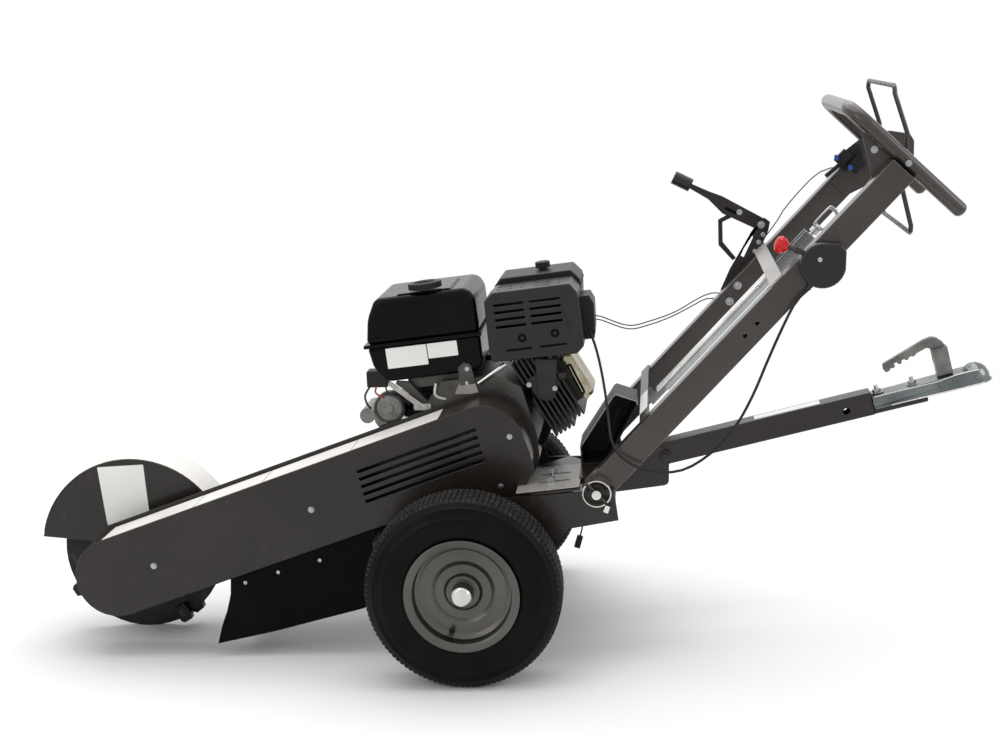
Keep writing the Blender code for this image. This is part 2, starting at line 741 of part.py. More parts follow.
def tank():
    body = engine_prism("fuel_tank",
                        [(-0.1940, 0.1352), (0.0000, 0.1352),
                         (0.0160, 0.1500), (0.0180, 0.2135),
                         (0.0220, 0.2135), (0.0220, 0.2195),
                         (0.0180, 0.2195), (0.0180, 0.2980),
                         (0.0020, 0.3180), (-0.1980, 0.3180),
                         (-0.2200, 0.2760), (-0.2300, 0.2195),
                         (-0.2360, 0.2195), (-0.2360, 0.2135),
                         (-0.2290, 0.2135), (-0.2220, 0.1700)],
                        -0.100, 0.125)
    cap_at = (CRANK_X - 0.088, -0.074)
    neck = rod("neck", 0.022, (cap_at[0], cap_at[1], CRANK_Z + 0.310),
               (cap_at[0], cap_at[1], CRANK_Z + 0.3245), 20)
    engine_turn(neck)
    join(body, neck)
    shade(body, "gloss_black", (0.006, 0.006, 0.006, 1.0), 0.12)
    cap = rod("fuel_cap", 0.036, (cap_at[0], cap_at[1], CRANK_Z + 0.3248),
              (cap_at[0], cap_at[1], CRANK_Z + 0.3400), 28)
    engine_turn(cap)
    black(cap)
    return body, cap, cap_at


def muffler():
    """Louvred sheet cover round the silencer."""
    obj = engine_prism("muffler_guard",
                       [(0.042, 0.156), (0.222, 0.1535), (0.238, 0.168),
                        (0.238, 0.283), (0.224, 0.304), (0.060, 0.304),
                        (0.040, 0.288), (0.036, 0.174)], -0.128, -0.006)
    w = MUFFLER_SHEET
    hollow = engine_prism("hollow", [(0.044, 0.156 + w), (0.220, 0.154 + w),
                                     (0.238 - w, 0.170), (0.238 - w, 0.282),
                                     (0.222, 0.304 - w), (0.062, 0.304 - w),
                                     (0.040 + w, 0.287), (0.036 + w, 0.175)],
                          -0.128 + w, -0.006 - w)
    cut(obj, hollow)
    for i in range(4):
        v = 0.276 - 0.0158 * i
        cut(obj, engine_box("slot", 0.058, 0.122, v - 0.0022, v + 0.0022,
                            -0.20, -0.110),
            engine_box("slot", 0.134, 0.200, v - 0.0022, v + 0.0022,
                       -0.20, -0.110))
    return painted(obj)


def air_cleaner():
    obj = engine_prism("air_cleaner",
                       [(0.052, 0.205), (0.232, 0.205), (0.240, 0.280),
                        (0.240, 0.294), (0.222, 0.316), (0.068, 0.316),
                        (0.052, 0.300)],
                       -0.0055, 0.128)
    black(obj)
    knob_at = (CRANK_X + 0.158, 0.060)
    knob = turned("air_cleaner_knob",
                  [(0, 0), (0.010, 0), (0.010, 0.003), (0.0165, 0.004),
                   (0.0165, 0.016), (0.014, 0.018), (0, 0.018)],
                  (0, 0, 0), steps=18, axis="Z")
    knob.data.transform(Matrix.Translation((knob_at[0], knob_at[1],
                                            CRANK_Z + 0.3163)))
    engine_turn(knob)
    black(knob)
    return obj, knob, knob_at


def intake():
    obj = engine_prism("intake_elbow",
                       [(0.2385, 0.170), (0.258, 0.170), (0.262, 0.190),
                        (0.266, 0.246), (0.258, 0.264), (0.2385, 0.264)],
                       -0.062, 0.020)
    return black(obj)


def recoil():
    """Fan housing with the pull starter on the far side."""
    obj = turned("fan_housing",
                 [(0.0, 0.0985), (0.128, 0.0985), (0.138, 0.106),
                  (0.138, 0.150), (0.120, 0.166), (0.085, 0.168),
                  (0.080, 0.196), (0.0, 0.196)],
                 (CRANK_X, 0, CRANK_Z), steps=24)
    low = box("trim", (CRANK_X - 0.3, 0.05, 0.0),
              (CRANK_X + 0.3, 0.25, DECK_Z + GAP))
    turn_about([low], TILT, DECK_X, DECK_Z)
    cut(obj, low)
    top = box("top", (CRANK_X - 0.3, 0.0, CRANK_Z + 0.1315),
              (CRANK_X + 0.3, 0.1412, CRANK_Z + 0.2))
    engine_turn(top)
    cut(obj, top)
    grip = box("grip", (CRANK_X - 0.018, 0.1955, CRANK_Z + 0.090),
               (CRANK_X + 0.018, 0.2105, CRANK_Z + 0.104), 0.003)
    lug = box("lug", (CRANK_X - 0.012, 0.166, CRANK_Z + 0.085),
              (CRANK_X + 0.012, 0.1962, CRANK_Z + 0.109))
    join(obj, lug, grip)
    return black(obj)


def starter():
    x, z = CRANK_X - 0.2080, CRANK_Z + 0.0580
    motor = rod("starter_motor", 0.030, (x, -0.098, z), (x, 0.060, z), 24)
    collar = engine_box("collar", -0.200, -0.1222, 0.030, 0.055, 0.010,
                        0.0600)
    coil = rod("solenoid", 0.017, (x - 0.046, -0.088, z + 0.006),
               (x - 0.046, 0.020, z + 0.006), 18)
    strap = box("strap", (x - 0.036, -0.060, z - 0.006),
                (x - 0.020, -0.020, z + 0.016))
    engine_turn(motor, coil, strap)
    steel(motor)
    join(motor, collar, coil, strap)
    return motor


def crank():
    axis = pivot("crank_axis", CRANK_X, 0, CRANK_Z)
    where = (CRANK_X, 0, CRANK_Z)
    shaft = turned("crankshaft", [(0, -0.1950), (0.0125, -0.1950),
                                  (0.0125, 0.090), (0, 0.090)], where,
                   steps=20)
    join(shaft, grooved("pulley", CRANK_PULLEY, 0.0115, where))
    hang(axis, steel(shaft))
    return axis


def dipstick():
    obj = turned("dipstick", [(0, 0), (0.009, 0), (0.009, 0.005),
                              (0.013, 0.006), (0.013, 0.018), (0, 0.018)],
                 (0, 0, 0), steps=14, axis="Z")
    obj.data.transform(Matrix.Translation((CRANK_X + CASE_END + GAP,
                                           -0.075, CRANK_Z - 0.0600))
                       @ Matrix.Rotation(math.radians(90), 4, "Y"))
    engine_turn(obj)
    return shade(obj, "yellow_plastic", (0.75, 0.42, 0.02, 1.0), 0.4)


def battery_box():
    """Open-sided electrics box that leans with the handles."""
    seat = TOWER_SEAT + GAP
    pts = [(0.2345, seat), (0.2345, 0.4180), (0.2330, 0.4330),
           (0.3080, 0.5455), (0.3140, 0.5490), (0.3580, 0.5330),
           (0.3610, 0.5240), (0.2880, seat)]
    inner = [(0.2385, seat + 0.004), (0.2385, 0.4160), (0.2376, 0.4320),
             (0.3102, 0.5410), (0.3150, 0.5440), (0.3545, 0.5295),
             (0.3560, 0.5240), (0.2860, seat + 0.004)]
    obj = prism("control_tower", pts, TOWER_FRONT, TOWER_FRONT + TOWER_DEEP)
    cut(obj, prism("hollow", inner, TOWER_FRONT - 0.01,
                   TOWER_FRONT + TOWER_DEEP - 0.004))
    return black(obj)


# ---------------------------------------------------------------- handles
def tube_point(along, across=0.0):
    c, s = math.cos(TUBE_ANGLE), math.sin(TUBE_ANGLE)
    return (PIVOT_X + along * c - across * s,
            PIVOT_Z + along * s + across * c)


def tube_matrix():
    """From (along, y, across) on the handle tubes to the machine."""
    return (Matrix.Translation((PIVOT_X, 0, PIVOT_Z))
            @ Matrix.Rotation(-TUBE_ANGLE, 4, "Y"))


def handle_tube(name, side):
    half = TUBE_WIDTH / 2
    lo, hi = TUBE_OUT - TUBE_DEPTH, TUBE_OUT
    y0, y1 = (-hi, -lo) if side < 0 else (lo, hi)
    obj = box(name, (-TUBE_TAIL, y0, -half), (TUBE_LENGTH, y1, half))
    w = TUBE_WALL
    cut(obj, box("hollow", (-TUBE_TAIL - 0.01, y0 + w, -half + w),
                 (TUBE_LENGTH + 0.01, y1 - w, half - w)))
    holes = [rod("bore", PIN_RADIUS + GAP, (0, -0.3, 0), (0, 0.3, 0), 20)]
    if side < 0:
        for along in (0.476, 0.441):
            holes.append(rod("hole", 0.0042, (along, -0.3, 0.0),
                             (along, 0.3, 0.0), 10))
    cut(obj, *holes)
    obj.data.transform(tube_matrix())
    return painted(obj)


def on_tubes(obj):
    obj.data.transform(tube_matrix())
    return obj


def handlebar(axis):
    near = handle_tube("handle_tube_near", -1)
    far = handle_tube("handle_tube_far", 1)
    top = TUBE_WIDTH / 2 + GAP
    inner = TUBE_OUT - TUBE_DEPTH - GAP
    low_bar = painted(on_tubes(box("cross_brace_lower",
                                   (0.165, -0.2560, top),
                                   (0.190, 0.2560, top + 0.005))))
    up_bar = painted(on_tubes(box("cross_brace_upper",
                                  (0.548, -0.2560, top),
                                  (0.580, 0.2560, top + 0.005))))
    plates = []
    for tag, side in (("near", -1), ("far", 1)):
        y0, y1 = side * inner, side * (inner - 0.004)
        pts = [(0.780, -0.024), (0.880, -0.026), (0.918, -0.022),
               (0.920, 0.072), (0.905, 0.100), (0.8864, 0.1050),
               (0.8368, 0.0306), (0.780, 0.020)]
        if side > 0:
            pts = [(0.780, -0.024), (0.905, -0.072), (0.945, -0.0727),
                   (0.9690, -0.050), (0.9740, -0.032), (0.9500, 0.004),
                   (0.9200, 0.036), (0.8700, 0.045), (0.780, 0.020)]
        plate = prism("gusset_" + tag, pts, min(y0, y1), max(y0, y1))
        y2 = side * (BAIL_Y + BAIL_RADIUS + GAP)
        stud = rod("stud", 0.010, (BAIL_ALONG, y0, BAIL_ACROSS),
                   (BAIL_ALONG, y2, BAIL_ACROSS), 16)
        plates.append(painted(on_tubes(join(plate, stud))))
    loop = swept("loop_handle", loop_route(), LOOP_RADIUS, 4)
    painted(loop)
    box_at = (0.822, 0.868)
    switch = black(on_tubes(box("switch_box",
                                (box_at[0], inner - 0.0215, 0.002),
                                (box_at[1], inner - 0.0003 - 0.0040, 0.056),
                                0.002)))
    hang(axis, near, far, low_bar, up_bar, *plates, loop, switch)
    return near, far


def loop_route():
    """U-shaped grip tube: two side bars and the joining bar."""
    along = TUBE_LENGTH + LOOP_RADIUS + GAP
    high, low, bend = 0.153, -0.141, 0.045
    y = LOOP_Y
    pts = [(low, -y), (high - bend, -y)]
    for k in range(1, 6):
        a = math.radians(18 * k)
        pts.append((high - bend + bend * math.sin(a),
                    -y + bend - bend * math.cos(a)))
    far = [(h, -yy) for h, yy in pts[::-1]]
    out = []
    for high_at, yy in pts + far:
        x, z = tube_point(along, high_at)
        out.append((x, yy, z))
    return out


def bail(axis):
    """Operator-presence hoop that rocks on the gussets."""
    hinge = tube_point(BAIL_ALONG, BAIL_ACROSS)
    r, c = 0.015, 0.0045
    top, bottom = (-0.0210, 0.1425), (0.0120, -0.1494)
    knee_up, knee_low = (0.0040, 0.0480), (-0.0050, -0.0620)
    near = [(*knee_low, 0.0), (*knee_up, 0.0), (top[0], top[1] - r, 0.0),
            (top[0], top[1] - c, c), (*top, r)]
    low = [(bottom[0], bottom[1] + r, 0.0), (bottom[0], bottom[1] + c, c),
           (*bottom, r)]
    route = [(x, z, -BAIL_Y + inset) for x, z, inset in near]
    route += [(x, z, BAIL_Y - inset) for x, z, inset in near[::-1] + low]
    route += [(x, z, -BAIL_Y + inset) for x, z, inset in low[::-1]]
    hoop = swept("operator_bail",
                 [(hinge[0] + x, y, hinge[1] + z) for x, z, y in route],
                 BAIL_RADIUS, 2, cyclic=True)
    shade(hoop, "dark_steel", (0.05, 0.05, 0.05, 1.0), 0.4, 0.5)
    pin = pivot("bail_axis", hinge[0], 0, hinge[1], axis)
    hang(pin, hoop)
    return pin


def throttle(axis):
    y0 = -TUBE_OUT - GAP
    centre = (0.7330, 0.8370)
    pts = arc(centre[0], centre[1], 0.046, -95, 120, 20)
    pts += [(centre[0] - 0.040, centre[1] + 0.024),
            (centre[0] - 0.044, centre[1] - 0.020),
            (centre[0] - 0.030, centre[1] - 0.040)]
    case = prism("throttle_housing", pts, y0 - 0.024, y0, smooth=True)
    screw = (0.7270, 0.8500)
    slot = box("slot", (centre[0] - 0.08, y0 - 0.0170, screw[1] - 0.016),
               (screw[0] + 0.018, y0 - 0.0070, centre[1] + 0.060))
    cut(case, slot)
    join(case, rod("screw", 0.0028, (screw[0], y0 - 0.0180, screw[1]),
                   (screw[0], y0 - 0.0060, screw[1]), 12),
         rod("ferrule", 0.0045, (0.7150, y0 - 0.012, 0.8063),
             (0.7058, y0 - 0.012, 0.7907), 12))
    black(case)
    lever = box("throttle_lever", (screw[0] - 0.050, y0 - 0.0145,
                                   screw[1] - 0.005),
                (screw[0] + 0.006, y0 - 0.0095, screw[1] + 0.005))
    neck = rod("neck", 0.0055, (screw[0] - 0.066, y0 - 0.0120, screw[1]),
               (screw[0] - 0.048, y0 - 0.0120, screw[1]), 12)
    join(lever, neck)
    cut(lever, rod("bore", 0.0028 + GAP, (screw[0], y0 - 0.03, screw[1]),
                   (screw[0], y0, screw[1]), 12))
    shade(lever, "dark_steel", (0.05, 0.05, 0.05, 1.0), 0.4, 0.5)
    knob = turned("throttle_knob",
                  [(0, 0), (0.0085, 0), (0.0115, 0.004), (0.0165, 0.010),
                   (0.0180, 0.016), (0.0150, 0.023), (0.008, 0.0265),
                   (0, 0.0275)], (0, 0, 0), steps=20, axis="X")
    knob.data.transform(Matrix.Rotation(math.pi, 4, "Z"))
    knob.data.transform(Matrix.Translation((screw[0] - 0.0663, y0 - 0.0120,
                                            screw[1])))
    shade(knob, "red_plastic", (0.70, 0.015, 0.010, 1.0), 0.25)
    turn_about([lever, knob], math.radians(-22.0), screw[0], screw[1])
    pin = pivot("throttle_axis", screw[0], y0 - 0.012, screw[1], axis)
    hang(pin, lever, knob)
    hang(axis, case)
    return pin


def brake(axis):
    """Lever on a slotted bracket outside the far tube."""
    y0 = TUBE_OUT + GAP
    pts = [(0.557, 0.690), (0.600, 0.700), (0.664, 0.846), (0.668, 0.866),
           (0.655, 0.876), (0.640, 0.868), (0.575, 0.760), (0.553, 0.712)]
    plate = prism("brake_bracket", pts, y0, y0 + 0.005)
    slot = prism("slot", [(0.600, 0.790), (0.607, 0.786), (0.632, 0.838),
                          (0.625, 0.842)], y0 - 0.01, y0 + 0.02)
    cut(plate, slot)
    painted(plate)
    hub = (0.6480, 0.8600)
    y1 = y0 + 0.005 + GAP
    lever = prism("brake_lever", [(0.662, 0.850), (0.664, 0.868),
                                  (0.640, 0.882), (0.560, 0.928),
                                  (0.530, 0.940), (0.484, 0.962),
                                  (0.480, 0.952), (0.528, 0.922),
                                  (0.560, 0.888), (0.640, 0.848)],
                  y1, y1 + 0.005)
    grip = rod("grip", 0.0155, (0.489, y1 + 0.0025, 0.9545),
               (0.450, y1 + 0.0025, 0.9750), 16)
    strap = prism("strap", [(0.578, 0.888), (0.586, 0.880), (0.560, 0.868),
                            (0.560, 0.822), (0.590, 0.784), (0.582, 0.778),
                            (0.550, 0.815), (0.550, 0.874)],
                  y1 + 0.003, y1 + 0.007)
    join(lever, grip, strap)
    painted(lever)
    pin = pivot("brake_axis", hub[0], y1, hub[1], axis)
    hang(pin, lever)
    hang(axis, plate)
    return pin


def latch(axis):
    """Spring strut and pull rod between the tubes."""
    across = 0.006
    strut = rod("latch_strut", 0.0105, (0.2170, 0, across),
                (0.5400, 0, across), 16)
    lug = box("lug", (0.1920, -0.008, across - 0.006),
              (0.2200, 0.008, across + 0.006))
    foot = box("foot", (0.1700, -0.0085, across - 0.006),
               (0.1940, 0.0085, TUBE_WIDTH / 2))
    bracket = box("latch_bracket", (0.5440, -0.0180, -0.014),
                  (0.6700, 0.0180, 0.022))
    hollow = box("hollow", (0.5400, -0.0150, -0.011), (0.68, 0.0150, 0.03))
    cut(bracket, hollow)
    post = box("post", (0.5540, -0.018, 0.020), (0.5740, -0.0155,
                                                 TUBE_WIDTH / 2))
    post2 = box("post", (0.5540, 0.0155, 0.020), (0.5740, 0.018,
                                                  TUBE_WIDTH / 2))
    join(strut, lug, foot)
    join(bracket, post, post2)
    puller = rod("latch_rod", 0.0050, (0.5405, 0, across),
                 (0.6900, 0, across), 12)
    collar = rod("collar", 0.010, (0.6750, 0, across), (0.6870, 0, across),
                 14)
    loop = ring("loop", 0.0180, 0.0030, 24)
    for v in loop.data.vertices:
        reach = math.hypot(v.co.x, v.co.z)
        square = ((v.co.x / reach) ** 6 + (v.co.z / reach) ** 6) ** (-1 / 6)
        v.co.x *= square
        v.co.z *= square
    loop.data.transform(Matrix.Translation((0.7160, 0, across))
                        @ Matrix.Diagonal((1.40, 1.0, 0.66, 1.0)))
    join(puller, collar, loop)
    for obj in (strut, bracket, puller):
        on_tubes(obj)
        zinc(obj)
    x, z = tube_point(0.5405, across)
    slide = pivot("latch_axis", x, 0, z, axis)
    hang(slide, puller)
    hang(axis, strut, bracket)
    return slide


def ring(name, across_radius, wire, steps=18):
    """A round wire ring lying in the X-Z plane."""
    bm = bmesh.new()
    loop = [bm.verts.new((across_radius + wire * math.cos(math.tau * k / 6),
                          wire * math.sin(math.tau * k / 6), 0.0))
            for k in range(6)]
    edges = [bm.edges.new((loop[i], loop[(i + 1) % 6])) for i in range(6)]
    bmesh.ops.spin(bm, geom=loop + edges, cent=(0, 0, 0), axis=(0, 1, 0),
                   angle=2 * math.pi, steps=steps, use_merge=True)
    return finish(name, bm, smooth=True)


def pivot_pins():
    """Pins that carry the handlebar, each with its lynch pin and ring."""
    out = []
    inner = TUBE_OUT - TUBE_DEPTH - 0.010
    for side in (-1, 1):
        tip = side * (SIDE_OUT + 0.022)
        pin = rod("pin", PIN_RADIUS, (PIVOT_X, side * inner, PIVOT_Z),
                  (PIVOT_X, tip, PIVOT_Z), 14)
        head = rod("head", 0.0165, (PIVOT_X, side * (SIDE_OUT - 0.001),
                                    PIVOT_Z),
                   (PIVOT_X, side * (SIDE_OUT + 0.006), PIVOT_Z), 14)
        y = side * (SIDE_OUT + 0.014)
        lynch = rod("lynch", 0.0040, (PIVOT_X - 0.0200, y,
                                      PIVOT_Z + 0.0210),
                    (PIVOT_X + 0.0200, y, PIVOT_Z - 0.0210), 12)
        hoop = ring("hoop", 0.0285, 0.0020)
        hoop.data.transform(Matrix.Translation((PIVOT_X, y, PIVOT_Z)))
        out.append(join(pin, head, lynch, hoop))
    return out


# ---------------------------------------------------------------- tow bar
def bar_point(x):
    return BAR_Z + (x - BAR_ZX) * math.tan(BAR_ANGLE)


def bar_matrix():
    return (Matrix.Translation((BAR_X0, 0, bar_point(BAR_X0)))
            @ Matrix.Rotation(-BAR_ANGLE, 4, "Y"))


def tow_bracket():
    half = BAR_SIZE / 2 + GAP
    pts = [(0.3025, 0.3110), (0.4130, 0.3243), (0.4200, 0.3275),
           (0.4230, 0.3340), (0.4250, 0.4000), (0.3900, 0.4230),
           (0.3025, 0.4020)]
    near = prism("tow_bracket", pts, -half - 0.005, -half)
    far = prism("far", pts, half, half + 0.005)
    back = prism("back", [(0.3025, 0.3270), (0.3085, 0.3270),
                          (0.3085, 0.4035), (0.3025, 0.4020)],
                 -half - 0.003, half + 0.003)
    wing = prism("wing", [(0.3025, 0.3230), (0.3085, 0.3230),
                          (0.3085, 0.3440), (0.3025, 0.3440)],
                 -0.2620, 0.2620)
    return painted(join(near, far, back, wing, tow_pin()))


def tow_bar():
    length = (BAR_X1 - BAR_X0) / math.cos(BAR_ANGLE)
    half = BAR_SIZE / 2
    obj = box("tow_bar", (0, -half, -half), (length, half, half))
    w = BAR_WALL
    cut(obj, box("hollow", (-0.01, -half + w, -half + w),
                 (length + 0.01, half - w, half - w)))
    cut(obj, rod("pin_bore", 0.0080 + GAP, (0.103, -0.1, -0.004),
                 (0.103, 0.1, -0.004), 16),
        rod("hole", 0.0075, (0.505, -0.1, -0.004), (0.505, 0.1, -0.004), 16))
    join(obj, box("tongue", (length - 0.030, -0.022, -half),
                  (length + 0.115, 0.022, COUPLER_LOW - 0.0015 - GAP)))
    obj.data.transform(bar_matrix())
    return painted(obj)


def tow_pin():
    at = bar_matrix() @ Vector((0.103, 0, -0.004))
    pin = rod("pin", 0.0080, (at.x, -0.046, at.z), (at.x, 0.046, at.z),
              16)
    head = rod("head", 0.013, (at.x, -BAR_SIZE / 2 - 0.0056, at.z),
               (at.x, -BAR_SIZE / 2 - 0.011, at.z), 16)
    return join(pin, head)


def coupler():
    """Pressed coupler: channel, socket dome and bottom flange."""
    x0 = (BAR_X1 - BAR_X0) / math.cos(BAR_ANGLE) + GAP
    tip = (COUPLER_TIP - BAR_X0) / math.cos(BAR_ANGLE)
    ball = tip - FLANGE_HALF
    low = COUPLER_LOW
    outline = [(x0, low), (ball + 0.005, low), (ball + 0.005, 0.0200),
               (ball - 0.050, 0.0190), (x0 + 0.050, 0.0150), (x0, 0.0140)]
    hollow_line = [(x0 - 0.01, -0.05), (ball - 0.034, -0.05),
                   (ball - 0.034, 0.0160), (ball - 0.050, 0.0155),
                   (x0 + 0.050, 0.0115), (x0 - 0.01, 0.0105)]
    body = prism("coupler_body", outline, -0.029, 0.029)
    dome = turned("dome", [(0, low), (0.0310, low), (0.0315, 0.004),
                           (0.0270, 0.016), (0.0200, 0.024),
                           (0.0100, 0.0295), (0, 0.031)],
                  (ball, 0, 0), steps=24, axis="Z", phase=0.05)
    rim_edge = [(x0 + 0.0010, -FLANGE_HALF)]
    rim_edge += arc(ball, 0.0, FLANGE_HALF, -85, 85, 14)
    rim_edge += [(x0 + 0.0010, FLANGE_HALF)]
    flange = slab("flange", rim_edge, low - 0.0015, low + 0.002)
    join(body, dome, flange)
    socket = turned("socket", [(0, -0.05), (0.0262, -0.05),
                               (0.0262, 0.004), (0.020, 0.015),
                               (0, 0.0225)], (ball, 0, 0), steps=20,
                    axis="Z", phase=0.02)
    cut(body, socket)
    cut(body, prism("hollow", hollow_line, -0.0255, 0.0255))
    cut(body, box("slot", (ball - 0.081, -0.05, 0.0030),
                  (ball - 0.051, 0.05, 0.0105)))
    foot = 0.0193
    hx, hz = ball - 0.055, foot + HANDLE_RISE
    post = box("coupler_post", (hx - 0.022, -0.012, foot),
               (hx + 0.012, 0.012, hz + 0.008), 0.002)
    fork = box("fork", (hx - 0.030, -0.0062, hz - 0.020),
               (hx + 0.030, 0.0062, hz + 0.020))
    cut(post, fork)
    pin = rod("pin", 0.0035, (hx, -0.0115, hz), (hx, 0.0115, hz), 12)
    join(post, pin)
    pts = [(0.0137, -0.0114), (0.0105, 0.0060), (0.0045, 0.0194),
           (-0.0060, 0.0300), (-0.0160, 0.0345), (-0.0335, 0.0320),
           (-0.1280, 0.0010), (-0.1290, -0.0100), (-0.1250, -0.0190),
           (-0.1160, -0.0170), (-0.1070, -0.0040), (-0.0650, 0.0027),
           (-0.0300, 0.0130), (-0.0190, 0.0064), (-0.0140, -0.0110)]
    handle = prism("coupler_handle", [(hx + x, hz + z) for x, z in pts],
                   -0.0058, 0.0058)
    cut(handle, rod("bore", 0.0035 + GAP, (hx, -0.1, hz), (hx, 0.1, hz),
                    12))
    for obj in (body, post, handle):
        obj.data.transform(bar_matrix())
        zinc(obj)
    at = bar_matrix() @ Vector((hx, 0, hz))
    axis = pivot("coupler_axis", at.x, 0, at.z)
    hang(axis, handle)
    return [body, post], axis


# ---------------------------------------------------------------- cables
def throttle_cable():
    """Bowden cable from the throttle housing down and across to the engine."""
    knots = [(0.7052, -0.2703, 0.7895), (0.6798, -0.2750, 0.7655),
             (0.6530, -0.2800, 0.7155), (0.6232, -0.2800, 0.6490),
             (0.5962, -0.2800, 0.5854), (0.5658, -0.2800, 0.5279),
             (0.5320, -0.2800, 0.4837), (0.4979, -0.2800, 0.4534),
             (0.4590, -0.2800, 0.4301), (0.4218, -0.2800, 0.4224),
             (0.3821, -0.2800, 0.4267), (0.3475, -0.2800, 0.4406),
             (0.3199, -0.2760, 0.4627), (0.3063, -0.2640, 0.4900),
             (0.3018, -0.2350, 0.5163), (0.2980, -0.2050, 0.5458),
             (0.2923, -0.1700, 0.5798), (0.2835, -0.1350, 0.6212),
             (0.2728, -0.1000, 0.6563), (0.2600, -0.0650, 0.6830)]
    obj = swept("throttle_cable", smooth_route(knots, 0.022), 0.0028, 2)
    return rubber(obj)


def thin_wires():
    """Kill-switch wires, and the switch lead along the far tube."""
    routes = {
        "kill_wire_upper": [
            (0.2738, -0.0230, 0.7066), (0.2821, -0.0150, 0.7041),
            (0.3409, 0.0450, 0.6714), (0.3886, 0.0950, 0.6710),
            (0.4448, 0.1500, 0.6806), (0.4949, 0.2100, 0.6980),
            (0.5250, 0.2350, 0.7070), (0.5480, 0.2450, 0.7067)],
        "kill_wire_lower": [
            (0.2738, -0.0230, 0.6988), (0.2818, -0.0150, 0.6964),
            (0.3408, 0.0450, 0.6636), (0.3869, 0.0950, 0.6625),
            (0.4389, 0.1500, 0.6710), (0.4900, 0.2100, 0.6860),
            (0.5150, 0.2350, 0.6945), (0.5360, 0.2450, 0.6942)],
        "switch_wire": [
            (0.8236, 0.2050, 0.9899), (0.7990, 0.2080, 0.9880),
            (0.7628, 0.2150, 0.9700), (0.7038, 0.2350, 0.9036),
            (0.6795, 0.2400, 0.8650), (0.6571, 0.2400, 0.8370),
            (0.6420, 0.2400, 0.8116)]}
    out = []
    for name, knots in routes.items():
        out.append(rubber(swept(name, smooth_route(knots, 0.024), 0.0013,
                                2)))
    return out


def pigtail():
    """Loose lead under the chassis with its connector."""
    knots = [(0.2400, -0.2000, 0.3097), (0.2395, -0.2000, 0.2980),
             (0.2375, -0.2000, 0.2820), (0.2330, -0.2000, 0.2650)]
    cord = rubber(swept("pigtail_cord", smooth_route(knots, 0.006), 0.0018,
                        2))
    plug = box("pigtail_plug", (-0.0065, -0.006, -0.0260),
               (0.0065, 0.006, 0.0), 0.001)
    plug.data.transform(Matrix.Translation((0.2329, -0.2000, 0.2646))
                        @ Matrix.Rotation(math.radians(17), 4, "Y"))
    return [cord, black(plug)]


def build():
    for obj in list(bpy.data.objects):
        bpy.data.objects.remove(obj, do_unlink=True)
    wheel("near", -1)
    wheel("far", 1)
    axle()
    chassis()
    boom()
    hood()
    skirt()
    flap()
    cutter()
    guard()
    belt()
    crankcase()
    cylinder()
    body, cap, cap_at = tank()
    cap_axis = pivot("cap_axis", cap_at[0], cap_at[1], CRANK_Z + 0.3248)
    turn_point(cap_axis)
    hang(cap_axis, cap)
    muffler()
    cleaner, knob, knob_at = air_cleaner()
    knob_axis = pivot("knob_axis", knob_at[0], knob_at[1],
                      CRANK_Z + 0.3303)
    turn_point(knob_axis)
    hang(knob_axis, knob)
    intake()
    recoil()
    starter()
    crank()
    dipstick()
    battery_box()
    handle_axis = pivot("handle_axis", PIVOT_X, 0, PIVOT_Z)
    handlebar(handle_axis)
    bail(handle_axis)
    throttle(handle_axis)
    brake(handle_axis)
    latch(handle_axis)
    tow_bracket()
    tow_bar()
    coupler()
    throttle_cable()
    thin_wires()
    pigtail()
    centre_on_length()


def turn_point(empty):
    """Move an engine pivot with the tilt of the engine."""
    x, y, z = empty.location
    c, s = math.cos(TILT), math.sin(TILT)
    dx, dz = x - CRANK_X, z - CRANK_Z
    empty.location = (CRANK_X + dx * c - dz * s, y, CRANK_Z + dx * s + dz * c)
    bpy.context.view_layer.update()


def centre_on_length():
    """Hang everything from one empty, with X = 0 at mid length."""
    frame = pivot("machine_frame", 0, 0, 0)
    across = []
    for obj in bpy.data.objects:
        if obj.parent is None and obj is not frame:
            obj.parent = frame
        if obj.type == "MESH":
            across.extend(v.co.x for v in obj.data.vertices)
    frame.location = (-(min(across) + max(across)) / 2, 0, 0)
    bpy.context.view_layer.update()


build()
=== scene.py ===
import bpy
import json
import math
from mathutils import Matrix, Vector


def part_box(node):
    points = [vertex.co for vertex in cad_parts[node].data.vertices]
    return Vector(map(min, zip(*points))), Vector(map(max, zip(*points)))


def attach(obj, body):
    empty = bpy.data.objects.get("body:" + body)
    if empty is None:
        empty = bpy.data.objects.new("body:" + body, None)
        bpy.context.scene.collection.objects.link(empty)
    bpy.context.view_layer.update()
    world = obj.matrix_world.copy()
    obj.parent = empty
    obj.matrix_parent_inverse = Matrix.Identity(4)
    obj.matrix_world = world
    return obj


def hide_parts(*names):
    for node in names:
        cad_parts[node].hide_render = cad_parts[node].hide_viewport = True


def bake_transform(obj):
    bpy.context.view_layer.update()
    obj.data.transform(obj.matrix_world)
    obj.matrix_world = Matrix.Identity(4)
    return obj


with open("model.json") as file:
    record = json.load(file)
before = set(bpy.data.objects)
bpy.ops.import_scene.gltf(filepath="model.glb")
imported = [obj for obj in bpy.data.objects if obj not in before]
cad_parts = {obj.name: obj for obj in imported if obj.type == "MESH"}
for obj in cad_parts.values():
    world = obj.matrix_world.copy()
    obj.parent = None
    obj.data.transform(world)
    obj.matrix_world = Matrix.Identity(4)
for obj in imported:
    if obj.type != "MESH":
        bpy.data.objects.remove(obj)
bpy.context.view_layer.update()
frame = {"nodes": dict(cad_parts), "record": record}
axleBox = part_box("axle")
axleX = (axleBox[0].x + axleBox[1].x) / 2  # the camera and the pieces are placed from the axle
print("frame loaded, axle at", round(axleX, 5))

# camera
shot = {"lens": 57.6, "place": (0.41175, -3.44843, 1.28809),
        "turn": -5.878874, "drop": 11.618921, "roll": -2.522101}


